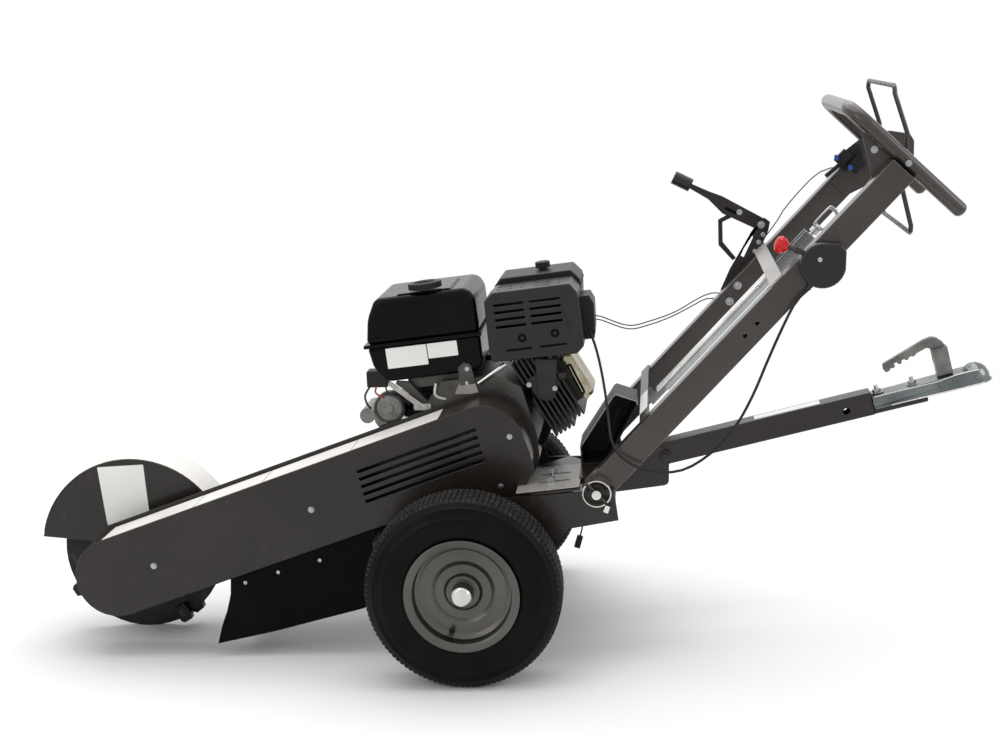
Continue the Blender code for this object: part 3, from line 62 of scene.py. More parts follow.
def placeCamera():
    turn, drop, roll = (math.radians(shot[k]) for k in ("turn", "drop", "roll"))
    ahead = Vector((math.sin(turn) * math.cos(drop), math.cos(turn) * math.cos(drop),
                    -math.sin(drop)))
    flat = Vector((math.cos(turn), -math.sin(turn), 0))
    rise = flat.cross(ahead)
    right = math.cos(roll) * flat + math.sin(roll) * rise
    up = math.cos(roll) * rise - math.sin(roll) * flat
    bpy.ops.object.camera_add()
    camera = bpy.context.object
    camera.data.lens = shot["lens"]
    camera.data.sensor_width = 36
    turned = Matrix((right, up, -ahead)).transposed().to_4x4()
    place = Vector(shot["place"]) + Vector((axleX, 0, 0))
    camera.matrix_world = Matrix.Translation(place) @ turned
    bpy.context.scene.camera = camera


placeCamera()

# light and floor
studio = {"sky": 0.72, "floor": (0.88, 0.88, 0.87, 1), "target": (0, 0, 0.4), "fadeFrom": 1.0, "fadeTo": 3.2,
          "lamps": {"topPanel": (95, 4.0, (-0.2, 0.7, 3.3)),  # power, size, place
                    "frontPanel": (22, 2.2, (-2.6, -3.0, 2.4)),
                    "sidePanel": (20, 1.6, (3.2, -0.8, 2.0))}}


def addNode(tree, kind, levels=None, **ways):
    made = tree.nodes.new("ShaderNode" + kind)
    for name, value in ways.items():
        setattr(made, name, value)
    for socket, value in (levels or {}).items():
        made.inputs[socket].default_value = value
    return made


def link(tree, *pairs):
    for source, target in pairs:
        tree.links.new(source, target)


def addLamp(name, power, size, place):
    bpy.ops.object.light_add(type="AREA", location=place)
    lamp = bpy.context.object
    lamp.name = name
    lamp.data.energy = power
    lamp.data.size = size
    look = Vector(studio["target"]) - Vector(place)
    lamp.rotation_euler = look.to_track_quat("-Z", "Y").to_euler()
    lamp.visible_camera = False


def lightStudio():
    for name, (power, size, place) in studio["lamps"].items():
        addLamp(name, power, size, place)
    world = bpy.data.worlds.new("paleRoom")
    bpy.context.scene.world = world
    world.use_nodes = True
    tree = world.node_tree
    soft = tree.nodes["Background"]
    soft.inputs["Color"].default_value = (1, 1, 1, 1)
    soft.inputs["Strength"].default_value = studio["sky"]
    white = addNode(tree, "Background", {"Color": (1, 1, 1, 1)})
    rays = addNode(tree, "LightPath").outputs
    first = addNode(tree, "Math", operation="MAXIMUM")
    second = addNode(tree, "Math", operation="MAXIMUM")
    pick = addNode(tree, "MixShader")
    link(tree, (rays["Is Camera Ray"], first.inputs[0]), (rays["Is Glossy Ray"], first.inputs[1]),
         (first.outputs[0], second.inputs[0]), (rays["Is Transmission Ray"], second.inputs[1]),
         (second.outputs[0], pick.inputs[0]), (soft.outputs[0], pick.inputs[1]),
         (white.outputs[0], pick.inputs[2]), (pick.outputs[0], tree.nodes["World Output"].inputs["Surface"]))


def layFloor():
    bpy.ops.mesh.primitive_plane_add(size=60)
    floor = bpy.context.object
    floor.name = "floor"
    material = bpy.data.materials.new("paleFloor")
    material.use_nodes = True
    tree = material.node_tree
    shader = tree.nodes["Principled BSDF"]
    shader.inputs["Base Color"].default_value = studio["floor"]
    shader.inputs["Roughness"].default_value = 0.9
    shader.inputs["Specular IOR Level"].default_value = 0.1
    coord = addNode(tree, "TexCoord")
    reach = addNode(tree, "VectorMath", operation="LENGTH")
    fade = addNode(tree, "MapRange", {"From Min": studio["fadeFrom"], "From Max": studio["fadeTo"]})
    rays = addNode(tree, "LightPath")
    both = addNode(tree, "Math", operation="MULTIPLY")
    glow = addNode(tree, "Emission")
    pick = addNode(tree, "MixShader")
    link(tree, (coord.outputs["Object"], reach.inputs[0]), (reach.outputs["Value"], fade.inputs["Value"]),
         (fade.outputs["Result"], both.inputs[0]), (rays.outputs["Is Camera Ray"], both.inputs[1]),
         (both.outputs[0], pick.inputs[0]), (shader.outputs[0], pick.inputs[1]),
         (glow.outputs[0], pick.inputs[2]),
         (pick.outputs[0], tree.nodes["Material Output"].inputs["Surface"]))
    floor.data.materials.append(material)


lightStudio()
layFloor()
bpy.context.scene.view_settings.view_transform = "Standard"
print("camera, lamps and floor set")


# finishes
def makeFinish(name, dark, light, rough, spread=0.1, metal=0.0, broad=7.0, fine=260.0,
               bump=0.12, stretch=(1, 1, 1), coat=0.0, specular=0.5, speck=None):
    material = bpy.data.materials.new(name)
    material.use_nodes = True
    tree = material.node_tree
    shader = tree.nodes["Principled BSDF"].inputs
    for socket, value in (("Metallic", metal), ("Coat Weight", coat), ("Coat Roughness", 0.12),
                          ("Specular IOR Level", specular)):
        shader[socket].default_value = value
    place = addNode(tree, "TexCoord").outputs["Object"]
    lay = addNode(tree, "Mapping", {"Scale": stretch})
    cloud = addNode(tree, "TexNoise", {"Scale": broad, "Detail": 6})
    grain = addNode(tree, "TexNoise", {"Scale": fine, "Detail": 3})
    tint = addNode(tree, "Mix", {6: (*dark, 1), 7: (*light, 1)}, data_type="RGBA")
    sharpen = addNode(tree, "MapRange", {"From Min": 0.35, "From Max": 0.65})
    low, high = max(0.04, rough - spread), min(1, rough + spread)
    gloss = addNode(tree, "MapRange", {"From Min": 0.3, "From Max": 0.7, "To Min": low, "To Max": high})
    relief = addNode(tree, "Bump", {"Strength": bump, "Distance": 0.0006})
    link(tree, (place, lay.inputs["Vector"]), (place, cloud.inputs["Vector"]),
         (lay.outputs["Vector"], grain.inputs["Vector"]), (cloud.outputs["Fac"], sharpen.inputs["Value"]),
         (sharpen.outputs["Result"], tint.inputs[0]), (grain.outputs["Fac"], gloss.inputs["Value"]),
         (grain.outputs["Fac"], relief.inputs["Height"]), (gloss.outputs["Result"], shader["Roughness"]),
         (relief.outputs["Normal"], shader["Normal"]))
    colour = tint.outputs[2]
    if speck:  # scattered paler wear
        dots = addNode(tree, "TexNoise", {"Scale": speck[1], "Detail": 8})
        keep = addNode(tree, "MapRange", {"From Min": 0.6, "From Max": 0.74})
        wear = addNode(tree, "Mix", {7: (*speck[0], 1)}, data_type="RGBA")
        link(tree, (place, dots.inputs["Vector"]), (dots.outputs["Fac"], keep.inputs["Value"]),
             (keep.outputs["Result"], wear.inputs[0]), (colour, wear.inputs[6]))
        colour = wear.outputs[2]
    link(tree, (colour, shader["Base Color"]))
    return material


paint = makeFinish("graphitePaint", (0.0125, 0.0095, 0.008), (0.0185, 0.0148, 0.0128), 0.3, 0.08, fine=420,
                   bump=0.08, specular=0.34, coat=0.1, speck=((0.026, 0.0215, 0.019), 38))
handlePaint = makeFinish("handlePaint", (0.03, 0.0225, 0.0205), (0.042, 0.033, 0.03), 0.26, 0.08, fine=420,
                         bump=0.06, specular=0.42, coat=0.3)
# near-black: painted shade in holes and slots, and on the skirts partly their own black, partly painted shade
# under the hood
blackAndPaintedShade = makeFinish("blackAndPaintedShade", (0.001, 0.001, 0.001), (0.0024, 0.0022, 0.0022), 0.62, 0.12, fine=300,
                        bump=0.25, specular=0.07)
tyreRubber = makeFinish("tyreRubber", (0.0012, 0.0012, 0.0012), (0.0036, 0.0034, 0.0032), 0.42, 0.08,
                        broad=14, fine=520, bump=0.14, specular=0.09)
treadRubber = makeFinish("treadRubber", (0.005, 0.0048, 0.0045), (0.022, 0.0205, 0.0188), 0.7, 0.12,
                         broad=60, fine=480, bump=0.25, specular=0.2)
rimEnamel = makeFinish("rimEnamel", (0.08, 0.076, 0.071), (0.112, 0.107, 0.1), 0.3, 0.05, metal=0.88,
                       broad=7, fine=900, bump=0.02)
softRubber = makeFinish("softRubber", (0.008, 0.008, 0.008), (0.015, 0.0145, 0.014), 0.62, 0.12, fine=300,
                        bump=0.3, specular=0.25)
brightSteel = makeFinish("brightSteel", (0.52, 0.51, 0.49), (0.7, 0.69, 0.67), 0.22, 0.08, metal=1.0,
                         broad=18, fine=90, bump=0.08, stretch=(1, 14, 14))
# pale steel for the upper brace; also painted light on the deck top and a painted highlight on the tower's
# rim
paleSteelAndPaintedLight = makeFinish("paleSteelAndPaintedLight", (0.36, 0.345, 0.33), (0.44, 0.425, 0.405), 0.38, 0.1, metal=0.45,
                       broad=10, fine=240, bump=0.1)
cutterBlack = makeFinish("cutterBlack", (0.006, 0.006, 0.006), (0.014, 0.0135, 0.013), 0.46, 0.14,
                         metal=0.2, broad=16, fine=160, bump=0.25, specular=0.3,
                         speck=((0.05, 0.045, 0.04), 44))
castAlloy = makeFinish("castAlloy", (0.3, 0.285, 0.27), (0.44, 0.425, 0.405), 0.42, 0.12, metal=0.85,
                       broad=24, fine=330, bump=0.4)
# far darker than the cast_alloy slot: partly the crankcase's own dark cast tone, partly painted shade where
# it sits in shadow above the guard
caseAlloyShaded = makeFinish("caseAlloyShaded", (0.034, 0.032, 0.029), (0.1, 0.094, 0.087), 0.46, 0.14, metal=0.6,
                       broad=13, fine=300, bump=0.5)
blackAlloy = makeFinish("blackAlloy", (0.009, 0.0085, 0.008), (0.022, 0.02, 0.018), 0.4, 0.12, metal=0.15,
                        broad=20, fine=300, bump=0.3, specular=0.4)
bronzeCoat = makeFinish("bronzeCoat", (0.0085, 0.0072, 0.0056), (0.015, 0.0128, 0.0105), 0.36, 0.08,
                        metal=0.1, broad=9, fine=340, bump=0.12, specular=0.4)
yellowZinc = makeFinish("yellowZinc", (0.34, 0.3, 0.2), (0.52, 0.48, 0.36), 0.32, 0.1, metal=0.9, broad=26,
                        fine=140, bump=0.1)
glossBlack = makeFinish("glossBlack", (0.0022, 0.0021, 0.002), (0.0042, 0.0038, 0.0034), 0.2, 0.05,
                        fine=180, bump=0.02, specular=0.1)
blackPlastic = makeFinish("blackPlastic", (0.006, 0.006, 0.006), (0.012, 0.0115, 0.011), 0.42, 0.1,
                          fine=620, bump=0.18, specular=0.25)
casePlastic = makeFinish("casePlastic", (0.0052, 0.005, 0.0047), (0.0095, 0.0091, 0.0086), 0.3, 0.08,
                         fine=620, bump=0.1, specular=0.42)
yellowPlastic = makeFinish("yellowPlastic", (0.62, 0.38, 0.02), (0.78, 0.5, 0.04), 0.35, 0.08, fine=400,
                           bump=0.08)
redPlastic = makeFinish("redPlastic", (0.46, 0.002, 0.002), (0.58, 0.004, 0.003), 0.16, 0.05, fine=300,
                        bump=0.03, specular=0.35)
darkSteel = makeFinish("darkSteel", (0.03, 0.029, 0.029), (0.062, 0.06, 0.058), 0.34, 0.12, metal=0.6,
                       broad=22, fine=170, bump=0.12)
zincPlate = makeFinish("zincPlate", (0.34, 0.35, 0.36), (0.44, 0.45, 0.46), 0.24, 0.05, metal=0.95, broad=9,
                       fine=700, bump=0.02)
couplerZinc = makeFinish("couplerZinc", (0.115, 0.13, 0.136), (0.185, 0.2, 0.205), 0.2, 0.05, metal=0.9,
                         broad=16, fine=600, bump=0.03)
leverZinc = makeFinish("leverZinc", (0.11, 0.11, 0.106), (0.21, 0.208, 0.2), 0.24, 0.1, metal=0.88,
                       broad=30, fine=160, bump=0.18)
blankLabel = makeFinish("blankLabel", (0.76, 0.755, 0.73), (0.82, 0.815, 0.8), 0.45, 0.06, fine=240,
                        bump=0.03)
creamLabel = makeFinish("creamLabel", (0.7, 0.68, 0.63), (0.78, 0.765, 0.73), 0.46, 0.06, fine=240, bump=0.03)
blueNylon = makeFinish("blueNylon", (0.01, 0.05, 0.26), (0.015, 0.08, 0.36), 0.35, 0.08, fine=500, bump=0.08)
redWire = makeFinish("redWire", (0.26, 0.012, 0.01), (0.36, 0.02, 0.015), 0.42, 0.08, fine=500, bump=0.1)
clearPipe = makeFinish("clearPipe", (0.5, 0.49, 0.44), (0.62, 0.61, 0.56), 0.25, 0.06, fine=300, bump=0.05)

slotFinish = {"graphite_paint": paint, "tyre_rubber": tyreRubber, "rim_enamel": rimEnamel,
              "rubber": softRubber, "bright_steel": brightSteel, "cutter_steel": cutterBlack,
              "cast_alloy": castAlloy, "black_alloy": blackAlloy, "yellow_zinc": yellowZinc,
              "gloss_black": glossBlack, "black_plastic": blackPlastic,
              "yellow_plastic": yellowPlastic, "red_plastic": redPlastic,
              "dark_steel": darkSteel, "zinc_plate": zincPlate}
slotOf = {finish: slot for slot, finish in slotFinish.items()}
nodeSlot = {}
for nodeName, node in frame["nodes"].items():
    for holder in node.material_slots:
        nodeSlot[nodeName] = holder.material.name.split(".")[0]
        holder.material = slotFinish[nodeSlot[nodeName]]
ownFinish = {"engine_crankcase": caseAlloyShaded, "loop_handle": handlePaint, "handle_tube_near": handlePaint,
             "handle_tube_far": handlePaint, "gusset_near": handlePaint, "gusset_far": handlePaint,
             "muffler_guard": bronzeCoat, "cross_brace_upper": paleSteelAndPaintedLight, "coupler_body": couplerZinc,
             "coupler_handle": leverZinc, "coupler_post": leverZinc, "starter_motor": leverZinc,
             "crankshaft": darkSteel}
for nodeName, finish in ownFinish.items():
    for holder in frame["nodes"][nodeName].material_slots:
        holder.material = finish
print("finishes made for", len(nodeSlot), "solids")


# bench tools
def pickUp(*pieces):
    if bpy.context.mode != "OBJECT":
        bpy.ops.object.mode_set(mode="OBJECT")
    bpy.ops.object.select_all(action="DESELECT")
    for piece in pieces:
        piece.select_set(True)
    if pieces:
        bpy.context.view_layer.objects.active = pieces[0]


def editAll(piece):
    pickUp(piece)
    bpy.ops.object.mode_set(mode="EDIT")
    bpy.ops.mesh.select_all(action="SELECT")


def leaveEdit():
    bpy.ops.object.mode_set(mode="OBJECT")


def rightWayOut(piece):
    editAll(piece)
    bpy.ops.mesh.remove_doubles(threshold=0.00002)
    bpy.ops.mesh.normals_make_consistent(inside=False)
    leaveEdit()


def softEdge(piece, width, steps=2, angle=32):
    pickUp(piece)
    if width:
        bevel = piece.modifiers.new("softEdge", "BEVEL")
        bevel.width = width
        bevel.segments = steps
        bevel.limit_method = "ANGLE"
        bevel.angle_limit = math.radians(angle)
        bevel.use_clamp_overlap = False
        bpy.ops.object.modifier_apply(modifier="softEdge")
    bpy.ops.object.shade_smooth_by_angle(angle=math.radians(40))
    if width:
        level = piece.modifiers.new("flatFaces", "WEIGHTED_NORMAL")
        level.keep_sharp = True
        bpy.ops.object.modifier_apply(modifier="flatFaces")
    return piece


def cutPlate(name, outline, nearY, farY, corner=0.0, soft=0.0008):
    pickUp()
    bpy.ops.mesh.primitive_circle_add(vertices=len(outline), radius=1, fill_type="NGON")
    plate = bpy.context.object
    plate.name = name
    for vertex, (x, z) in zip(plate.data.vertices, outline):
        vertex.co = (x, nearY, z)
    editAll(plate)
    if corner:
        bpy.ops.mesh.bevel(affect="VERTICES", offset=corner, segments=4)
    bpy.ops.mesh.extrude_region_move(TRANSFORM_OT_translate={"value": (0, farY - nearY, 0)})
    leaveEdit()
    rightWayOut(plate)
    return softEdge(plate, soft)


def block(name, low, high, soft=0.0012, steps=2):
    pickUp()
    low, high = Vector(low), Vector(high)
    bpy.ops.mesh.primitive_cube_add(size=1, location=(low + high) / 2, scale=high - low)
    piece = bpy.context.object
    piece.name = name
    bpy.ops.object.transform_apply()
    return softEdge(piece, soft, steps)


def spinUp(name, profile, steps=48, soft=0.0):
    pickUp()
    bpy.ops.mesh.primitive_circle_add(vertices=len(profile), radius=1, fill_type="NOTHING")
    piece = bpy.context.object
    piece.name = name
    for vertex, (radius, along) in zip(piece.data.vertices, profile):
        vertex.co = (radius, 0, along)
    editAll(piece)
    bpy.ops.mesh.spin(steps=steps, angle=math.tau, center=(0, 0, 0), axis=(0, 0, 1))
    bpy.ops.mesh.select_all(action="SELECT")
    bpy.ops.mesh.remove_doubles(threshold=0.00002)
    bpy.ops.mesh.dissolve_degenerate(threshold=0.00002)
    leaveEdit()
    rightWayOut(piece)
    return softEdge(piece, soft)


def aim(direction, where, turn=0.0):
    swing = Vector((0, 0, 1)).rotation_difference(Vector(direction).normalized())
    return (Matrix.Translation(where) @ swing.to_matrix().to_4x4()
            @ Matrix.Rotation(math.radians(turn), 4, "Z"))


def setDown(piece, matrix):
    piece.matrix_world = matrix
    pickUp(piece)
    bpy.ops.object.transform_apply()
    return piece


def copyOf(piece, name):
    twin = bpy.data.objects.new(name, piece.data.copy())
    bpy.context.scene.collection.objects.link(twin)
    return twin


def weld(name, pieces):
    pickUp(*pieces)
    bpy.ops.object.join()
    bpy.context.object.name = name
    return bpy.context.object


def dress(piece, finish, slot, *stands):
    piece.data.materials.clear()
    piece.data.materials.append(finish)
    if stands:
        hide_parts(*stands)


def hang(piece, body, finish, slot=None, *stands):  # puts a finished piece on its body
    pickUp(piece)
    piece.location.x += axleX
    bpy.ops.object.transform_apply()
    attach(piece, body)
    dress(piece, finish, slot or slotOf[finish], *stands)


def tubeMesh(name, points, radius, sides=4):
    pickUp()
    bpy.ops.curve.primitive_nurbs_path_add()
    line = bpy.context.object
    line.name = name
    line.data.splines.clear()
    spline = line.data.splines.new("POLY")
    spline.points.add(len(points) - 1)
    for point, place in zip(spline.points, points):
        point.co = (*place, 1)
    line.data.dimensions = "3D"
    line.data.bevel_depth = radius
    line.data.bevel_resolution = sides
    line.data.use_fill_caps = True
    pickUp(line)
    bpy.ops.object.convert(target="MESH")
    rightWayOut(bpy.context.object)
    bpy.ops.object.shade_smooth_by_angle(angle=math.radians(50))
    return bpy.context.object


def smoothRoute(knots, spacing):  # a soft curve through the knots, cut into equal steps
    pts = [Vector(k) for k in knots]
    pts = [2 * pts[0] - pts[1]] + pts + [2 * pts[-1] - pts[-2]]
    fine = []
    for i in range(1, len(pts) - 2):
        p0, p1, p2, p3 = pts[i - 1:i + 3]
        for k in range(40):
            t = k / 40
            fine.append(0.5 * ((2 * p1) + (p2 - p0) * t + (2 * p0 - 5 * p1 + 4 * p2 - p3) * t * t
                               + (3 * p1 - p0 - 3 * p2 + p3) * t ** 3))
    fine.append(pts[-2])
    total = sum((b - a).length for a, b in zip(fine, fine[1:]))
    count = max(2, round(total / spacing))
    out, run, want = [fine[0]], 0.0, total / count
    for a, b in zip(fine, fine[1:]):
        step = (b - a).length
        while run + step >= want - 1e-9 and len(out) < count:
            out.append(a + (b - a) * ((want - run) / step))
            want += total / count
        run += step
    out.append(fine[-1])
    return out


def pipe(name, knots, radius, spacing=0.004):
    return tubeMesh(name, smoothRoute(knots, spacing), radius)


def lathe(name, profile, direction, where, steps=48, soft=0.0):
    return setDown(spinUp(name, profile, steps, soft), aim(direction, where))


def pickTop(piece):
    editAll(piece)
    bpy.ops.mesh.select_all(action="DESELECT")
    leaveEdit()
    for face in piece.data.polygons:
        face.select = face.normal.z > 0.9
    bpy.ops.object.mode_set(mode="EDIT")


def repeatRound(piece, count, axis=(0, 0, 1)):
    editAll(piece)
    bpy.ops.mesh.spin(steps=count - 1, angle=math.tau * (count - 1) / count, dupli=True,
                      center=(0, 0, 0), axis=axis)
    leaveEdit()


# parts that lean, with angle and foot: places along and across each become X and Z
lean = {"engine": (5.5, 0.03, 0.47), "tube": (45.95, 0.274, 0.38), "guard": (18.75, -0.787, 0.1855),
        "bar": (12.93, 0.315, 0.3965 - 0.105 * math.tan(math.radians(12.93)))}


def leaning(part):
    angle, x0, z0 = lean[part]
    c, s = math.cos(math.radians(angle)), math.sin(math.radians(angle))

    def place(along, up):
        return (x0 + along * c - up * s, z0 + along * s + up * c)
    return place


def upFrom(part):
    angle = math.radians(lean[part][0])
    return (-math.sin(angle), 0, math.cos(angle))


def at(place, y):
    return (place[0], y, place[1])


def outlineOn(place, points):
    return [place(a, b) for a, b in points]


def oblong(place, a0, a1, b0, b1):
    return outlineOn(place, [(a0, b0), (a1, b0), (a1, b1), (a0, b1)])


onEngine, onTube, onBar, onGuard = (leaning(part) for part in ("engine", "tube", "bar", "guard"))
tubeTilt = math.radians(lean["tube"][0])
tubeAlong = (math.cos(tubeTilt), 0, math.sin(tubeTilt))
nearSide, farSide = (0, -1, 0), (0, 1, 0)

# cords
cords = {
    "throttleCable": {
        "node": "throttle_cable", "radius": 0.0028, "spacing": 0.022, "bends": (0.32, 0.7),
        "knots": [(0.7052, -0.2703, 0.7895), (0.6798, -0.275, 0.7655), (0.653, -0.28, 0.7155),
                  (0.6232, -0.28, 0.649), (0.5962, -0.28, 0.5854), (0.5658, -0.28, 0.5279),
                  (0.532, -0.28, 0.4837), (0.4979, -0.28, 0.4534), (0.459, -0.28, 0.4301),
                  (0.4218, -0.28, 0.4224), (0.3821, -0.28, 0.4267), (0.3475, -0.28, 0.4406),
                  (0.3199, -0.276, 0.4627), (0.3063, -0.264, 0.49), (0.3018, -0.235, 0.5163),
                  (0.298, -0.205, 0.5458), (0.2923, -0.17, 0.5798), (0.2835, -0.135, 0.6212),
                  (0.2728, -0.1, 0.6563), (0.26, -0.065, 0.683)]},
    "killWireUpper": {
        "node": "kill_wire_upper", "radius": 0.0013, "spacing": 0.018, "bends": (0.285, 0.53),
        "knots": [(0.2738, -0.023, 0.7066), (0.2821, -0.015, 0.7041), (0.3409, 0.045, 0.6714),
                  (0.3886, 0.095, 0.671), (0.4448, 0.15, 0.6806), (0.4949, 0.21, 0.698),
                  (0.525, 0.235, 0.707), (0.548, 0.245, 0.7067)]},
    "killWireLower": {
        "node": "kill_wire_lower", "radius": 0.0013, "spacing": 0.018, "bends": (0.285, 0.53),
        "knots": [(0.2738, -0.023, 0.6988), (0.2818, -0.015, 0.6964), (0.3408, 0.045, 0.6636),
                  (0.3869, 0.095, 0.6625), (0.4389, 0.15, 0.671), (0.49, 0.21, 0.686),
                  (0.515, 0.235, 0.6945), (0.536, 0.245, 0.6942)]},
    "switchWire": {
        "node": "switch_wire", "radius": 0.0013, "spacing": 0.024, "body": "handlebar",
        "knots": [(0.8236, 0.205, 0.9899), (0.799, 0.208, 0.988), (0.7628, 0.215, 0.97),
                  (0.7038, 0.235, 0.9036), (0.6795, 0.24, 0.865), (0.6571, 0.24, 0.837),
                  (0.642, 0.24, 0.8116)]},
    "pigtail": {
        "node": "pigtail_cord", "radius": 0.0018, "spacing": 0.006, "body": "machine",
        "knots": [(0.24, -0.2, 0.3097), (0.2395, -0.2, 0.298), (0.2375, -0.2, 0.282),
                  (0.233, -0.2, 0.265)]}}


def runCords():
    for name, cord in cords.items():
        points = [point + Vector((axleX, 0, 0)) for point in smoothRoute(cord["knots"], cord["spacing"])]
        facts = {"exit": tuple(points[0]), "lay": "loose", "diameter": 2 * cord["radius"],
                 "length": sum((b - a).length for a, b in zip(points, points[1:])),
                 "far_end": "connector" if name == "pigtail" else "object",
                 "stiffness": "stiff" if name == "throttleCable" else "medium",
                 "with_pieces": [frame["nodes"]["pigtail_plug"]] if name == "pigtail" else [],
                 "path": [tuple(point) for point in points]}
        line = tubeMesh(name, points, cord["radius"], 3)
        if "bends" in cord:  # these cords stay in world place on no body; their two bend places along X are not read
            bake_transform(line)
        else:
            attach(line, cord["body"])
        dress(line, softRubber, nodeSlot[cord["node"]], cord["node"])
        print("cord", name, round(facts["length"], 3))


runCords()

# the sheet metal gets rolled edges so that they catch the light
softened = {
    "belt_guard": 0.0018, "guard_backplate": 0.001, "cutter_hood": 0.0016, "boom": 0.0012,
    "control_tower": 0.0009, "handle_tube_near": 0.0024, "handle_tube_far": 0.0024,
    "gusset_near": 0.001, "gusset_far": 0.001, "cross_brace_lower": 0.001, "cross_brace_upper": 0.001,
    "brake_bracket": 0.001, "brake_lever": 0.0012, "latch_bracket": 0.0007, "tow_bar": 0.003,
    "tow_bracket": 0.001, "coupler_body": 0.0012, "coupler_handle": 0.002, "muffler_guard": 0.0024,
    "air_cleaner": 0.003, "throttle_lever": 0.0012, "loop_handle": 0.003, "operator_bail": 0.0008,
    "latch_rod": 0.0006, "axle": 0.0008, "rubber_flap": 0.001, "fan_housing": 0.0035}
bodyOf = {nodeName: body for body, members in frame["record"]["behaviour"]["bodies"].items()
          for nodeName in members}


def softenSheets():
    for nodeName, width in softened.items():
        piece = copyOf(frame["nodes"][nodeName], nodeName + "Soft")
        rightWayOut(piece)
        editAll(piece)
        bpy.ops.mesh.dissolve_limited(angle_limit=math.radians(0.6))
        leaveEdit()
        softEdge(piece, width)
        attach(piece, bodyOf[nodeName])
        slot = nodeSlot[nodeName]
        dress(piece, ownFinish.get(nodeName, slotFinish[slot]), slot, nodeName)


softenSheets()
print("sheet metal edges rolled")

# wheels
wheel = {"y": 0.35, "z": 0.2032, "steps": 96, "lugs": 112, "lugLong": 0.0088, "lugWide": 0.0106,
         "root": 0.1985, "crown": 0.2031, "rows": (-0.0272, -0.0136, 0.0, 0.0136, 0.0272), "stagger": 2.7}
tyreSide = [(0.1046, 0.0372), (0.1046, 0.0475), (0.112, 0.048), (0.119, 0.0488), (0.1225, 0.0506),
            (0.13, 0.0535), (0.14, 0.0553), (0.15, 0.0559), (0.161, 0.0556), (0.1622, 0.0566),
            (0.1646, 0.0564), (0.1658, 0.0549), (0.175, 0.0528), (0.1815, 0.0504), (0.1827, 0.0511),
            (0.1848, 0.0502), (0.1856, 0.0487), (0.192, 0.044), (0.1974, 0.038), (0.2004, 0.031),
            (0.2014, 0.015)]
tyreInside = [(0.12, 0.039), (0.137, 0.0455), (0.158, 0.046), (0.18, 0.04), (0.193, 0.024)]
rimProfile = [(0.1185, -0.0525), (0.115, -0.0519), (0.108, -0.0505), (0.1044, -0.0478), (0.104, -0.035),
              (0.094, -0.027), (0.094, 0.02), (0.104, 0.029), (0.104, 0.047),
              (0.108, 0.0505), (0.115, 0.0519), (0.1185, 0.0525), (0.1188, 0.0545),
              (0.117, 0.0553), (0.109, 0.0535), (0.102, 0.05), (0.1008, 0.047), (0.1008, 0.032),
              (0.099, 0.029), (0.093, 0.0262), (0.0905, 0.024), (0.086, 0.0236), (0.07, 0.025),
              (0.0655, 0.024), (0.059, 0.0185), (0.0555, 0.0171), (0.042, 0.017), (0.0385, 0.019),
              (0.0345, 0.0262), (0.0325, 0.0272), (0.0236, 0.0272), (0.0225, 0.0285), (0.0225, 0.044),
              (0.0138, 0.044), (0.0138, -0.04), (0.0225, -0.04), (0.0225, 0.0235), (0.0325, 0.0235),
              (0.0385, 0.0135), (0.0575, 0.0135), (0.0715, 0.0215), (0.09, 0.02),
              (0.09, -0.026), (0.1, -0.0345), (0.1, -0.049), (0.117, -0.055)]


def tyreCasing(name):
    outside = tyreSide + [(r, -a) for r, a in reversed(tyreSide)]
    inside = [(r, -a) for r, a in tyreInside] + list(reversed(tyreInside))
    return spinUp(name, outside + inside, wheel["steps"])


def treadLugs(name):
    half, wide = wheel["lugLong"] / 2, wheel["lugWide"] / 2
    made = []
    for i, row in enumerate(wheel["rows"]):
        lug = block("lug", (-half, row - wide, wheel["root"]),
                    (half, row + wide, wheel["crown"] - 0.03 * abs(row)), 0.0009, 1)
        editAll(lug)
        bpy.ops.transform.rotate(value=math.radians(wheel["stagger"] * (i % 2)), orient_axis="Y",
                                 center_override=(0, 0, 0))
        leaveEdit()
        made.append(lug)
    for side in (-1, 1):  # shoulder lugs
        lug = block("lug", (-0.0036, -0.005, -0.003), (0.0036, 0.005, 0.003), 0.0009, 1)
        made.append(setDown(lug, Matrix.Translation((0, side * 0.0368, 0.1958))
                            @ Matrix.Rotation(math.radians(-44 * side), 4, "X")))
    tread = weld(name, made)
    repeatRound(tread, wheel["lugs"], (0, 1, 0))
    pickUp(tread)
    bpy.ops.object.shade_smooth_by_angle(angle=math.radians(30))
    return tread


def valveStem(name):
    return spinUp(name, [(0, 0), (0.0062, 0), (0.0064, 0.003), (0.0042, 0.005), (0.0036, 0.016),
                         (0.0044, 0.0164), (0.0044, 0.0232), (0.0034, 0.0245), (0, 0.0245)], 20, 0.0003)


def buildWheels():
    casing, tread = tyreCasing("casing"), treadLugs("tread")
    rim, valve = spinUp("rim", rimProfile, 80, 0.0005), valveStem("valve")
    for tag, side, direction in (("near", -1, nearSide), ("far", 1, farSide)):
        place = (0, side * wheel["y"], wheel["z"])
        stem = (-0.026, place[1] + side * 0.023, place[2] - 0.082)
        body = tag + "_wheel"
        hang(setDown(copyOf(casing, tag + "TyreCasing"), aim(direction, place)), body, tyreRubber,
             "tyre_rubber", "tyre_" + tag)
        hang(setDown(copyOf(tread, tag + "TyreTread"), Matrix.Translation(place)), body, treadRubber,
             "tyre_rubber")
        hang(setDown(copyOf(rim, tag + "PressedRim"), aim(direction, place)), body, rimEnamel,
             "rim_enamel", "rim_" + tag)
        hang(setDown(copyOf(valve, tag + "Valve"), aim(direction, stem)), body, softRubber)
    for piece in (casing, tread, rim, valve):
        bpy.data.objects.remove(piece)


buildWheels()
print("wheels built")


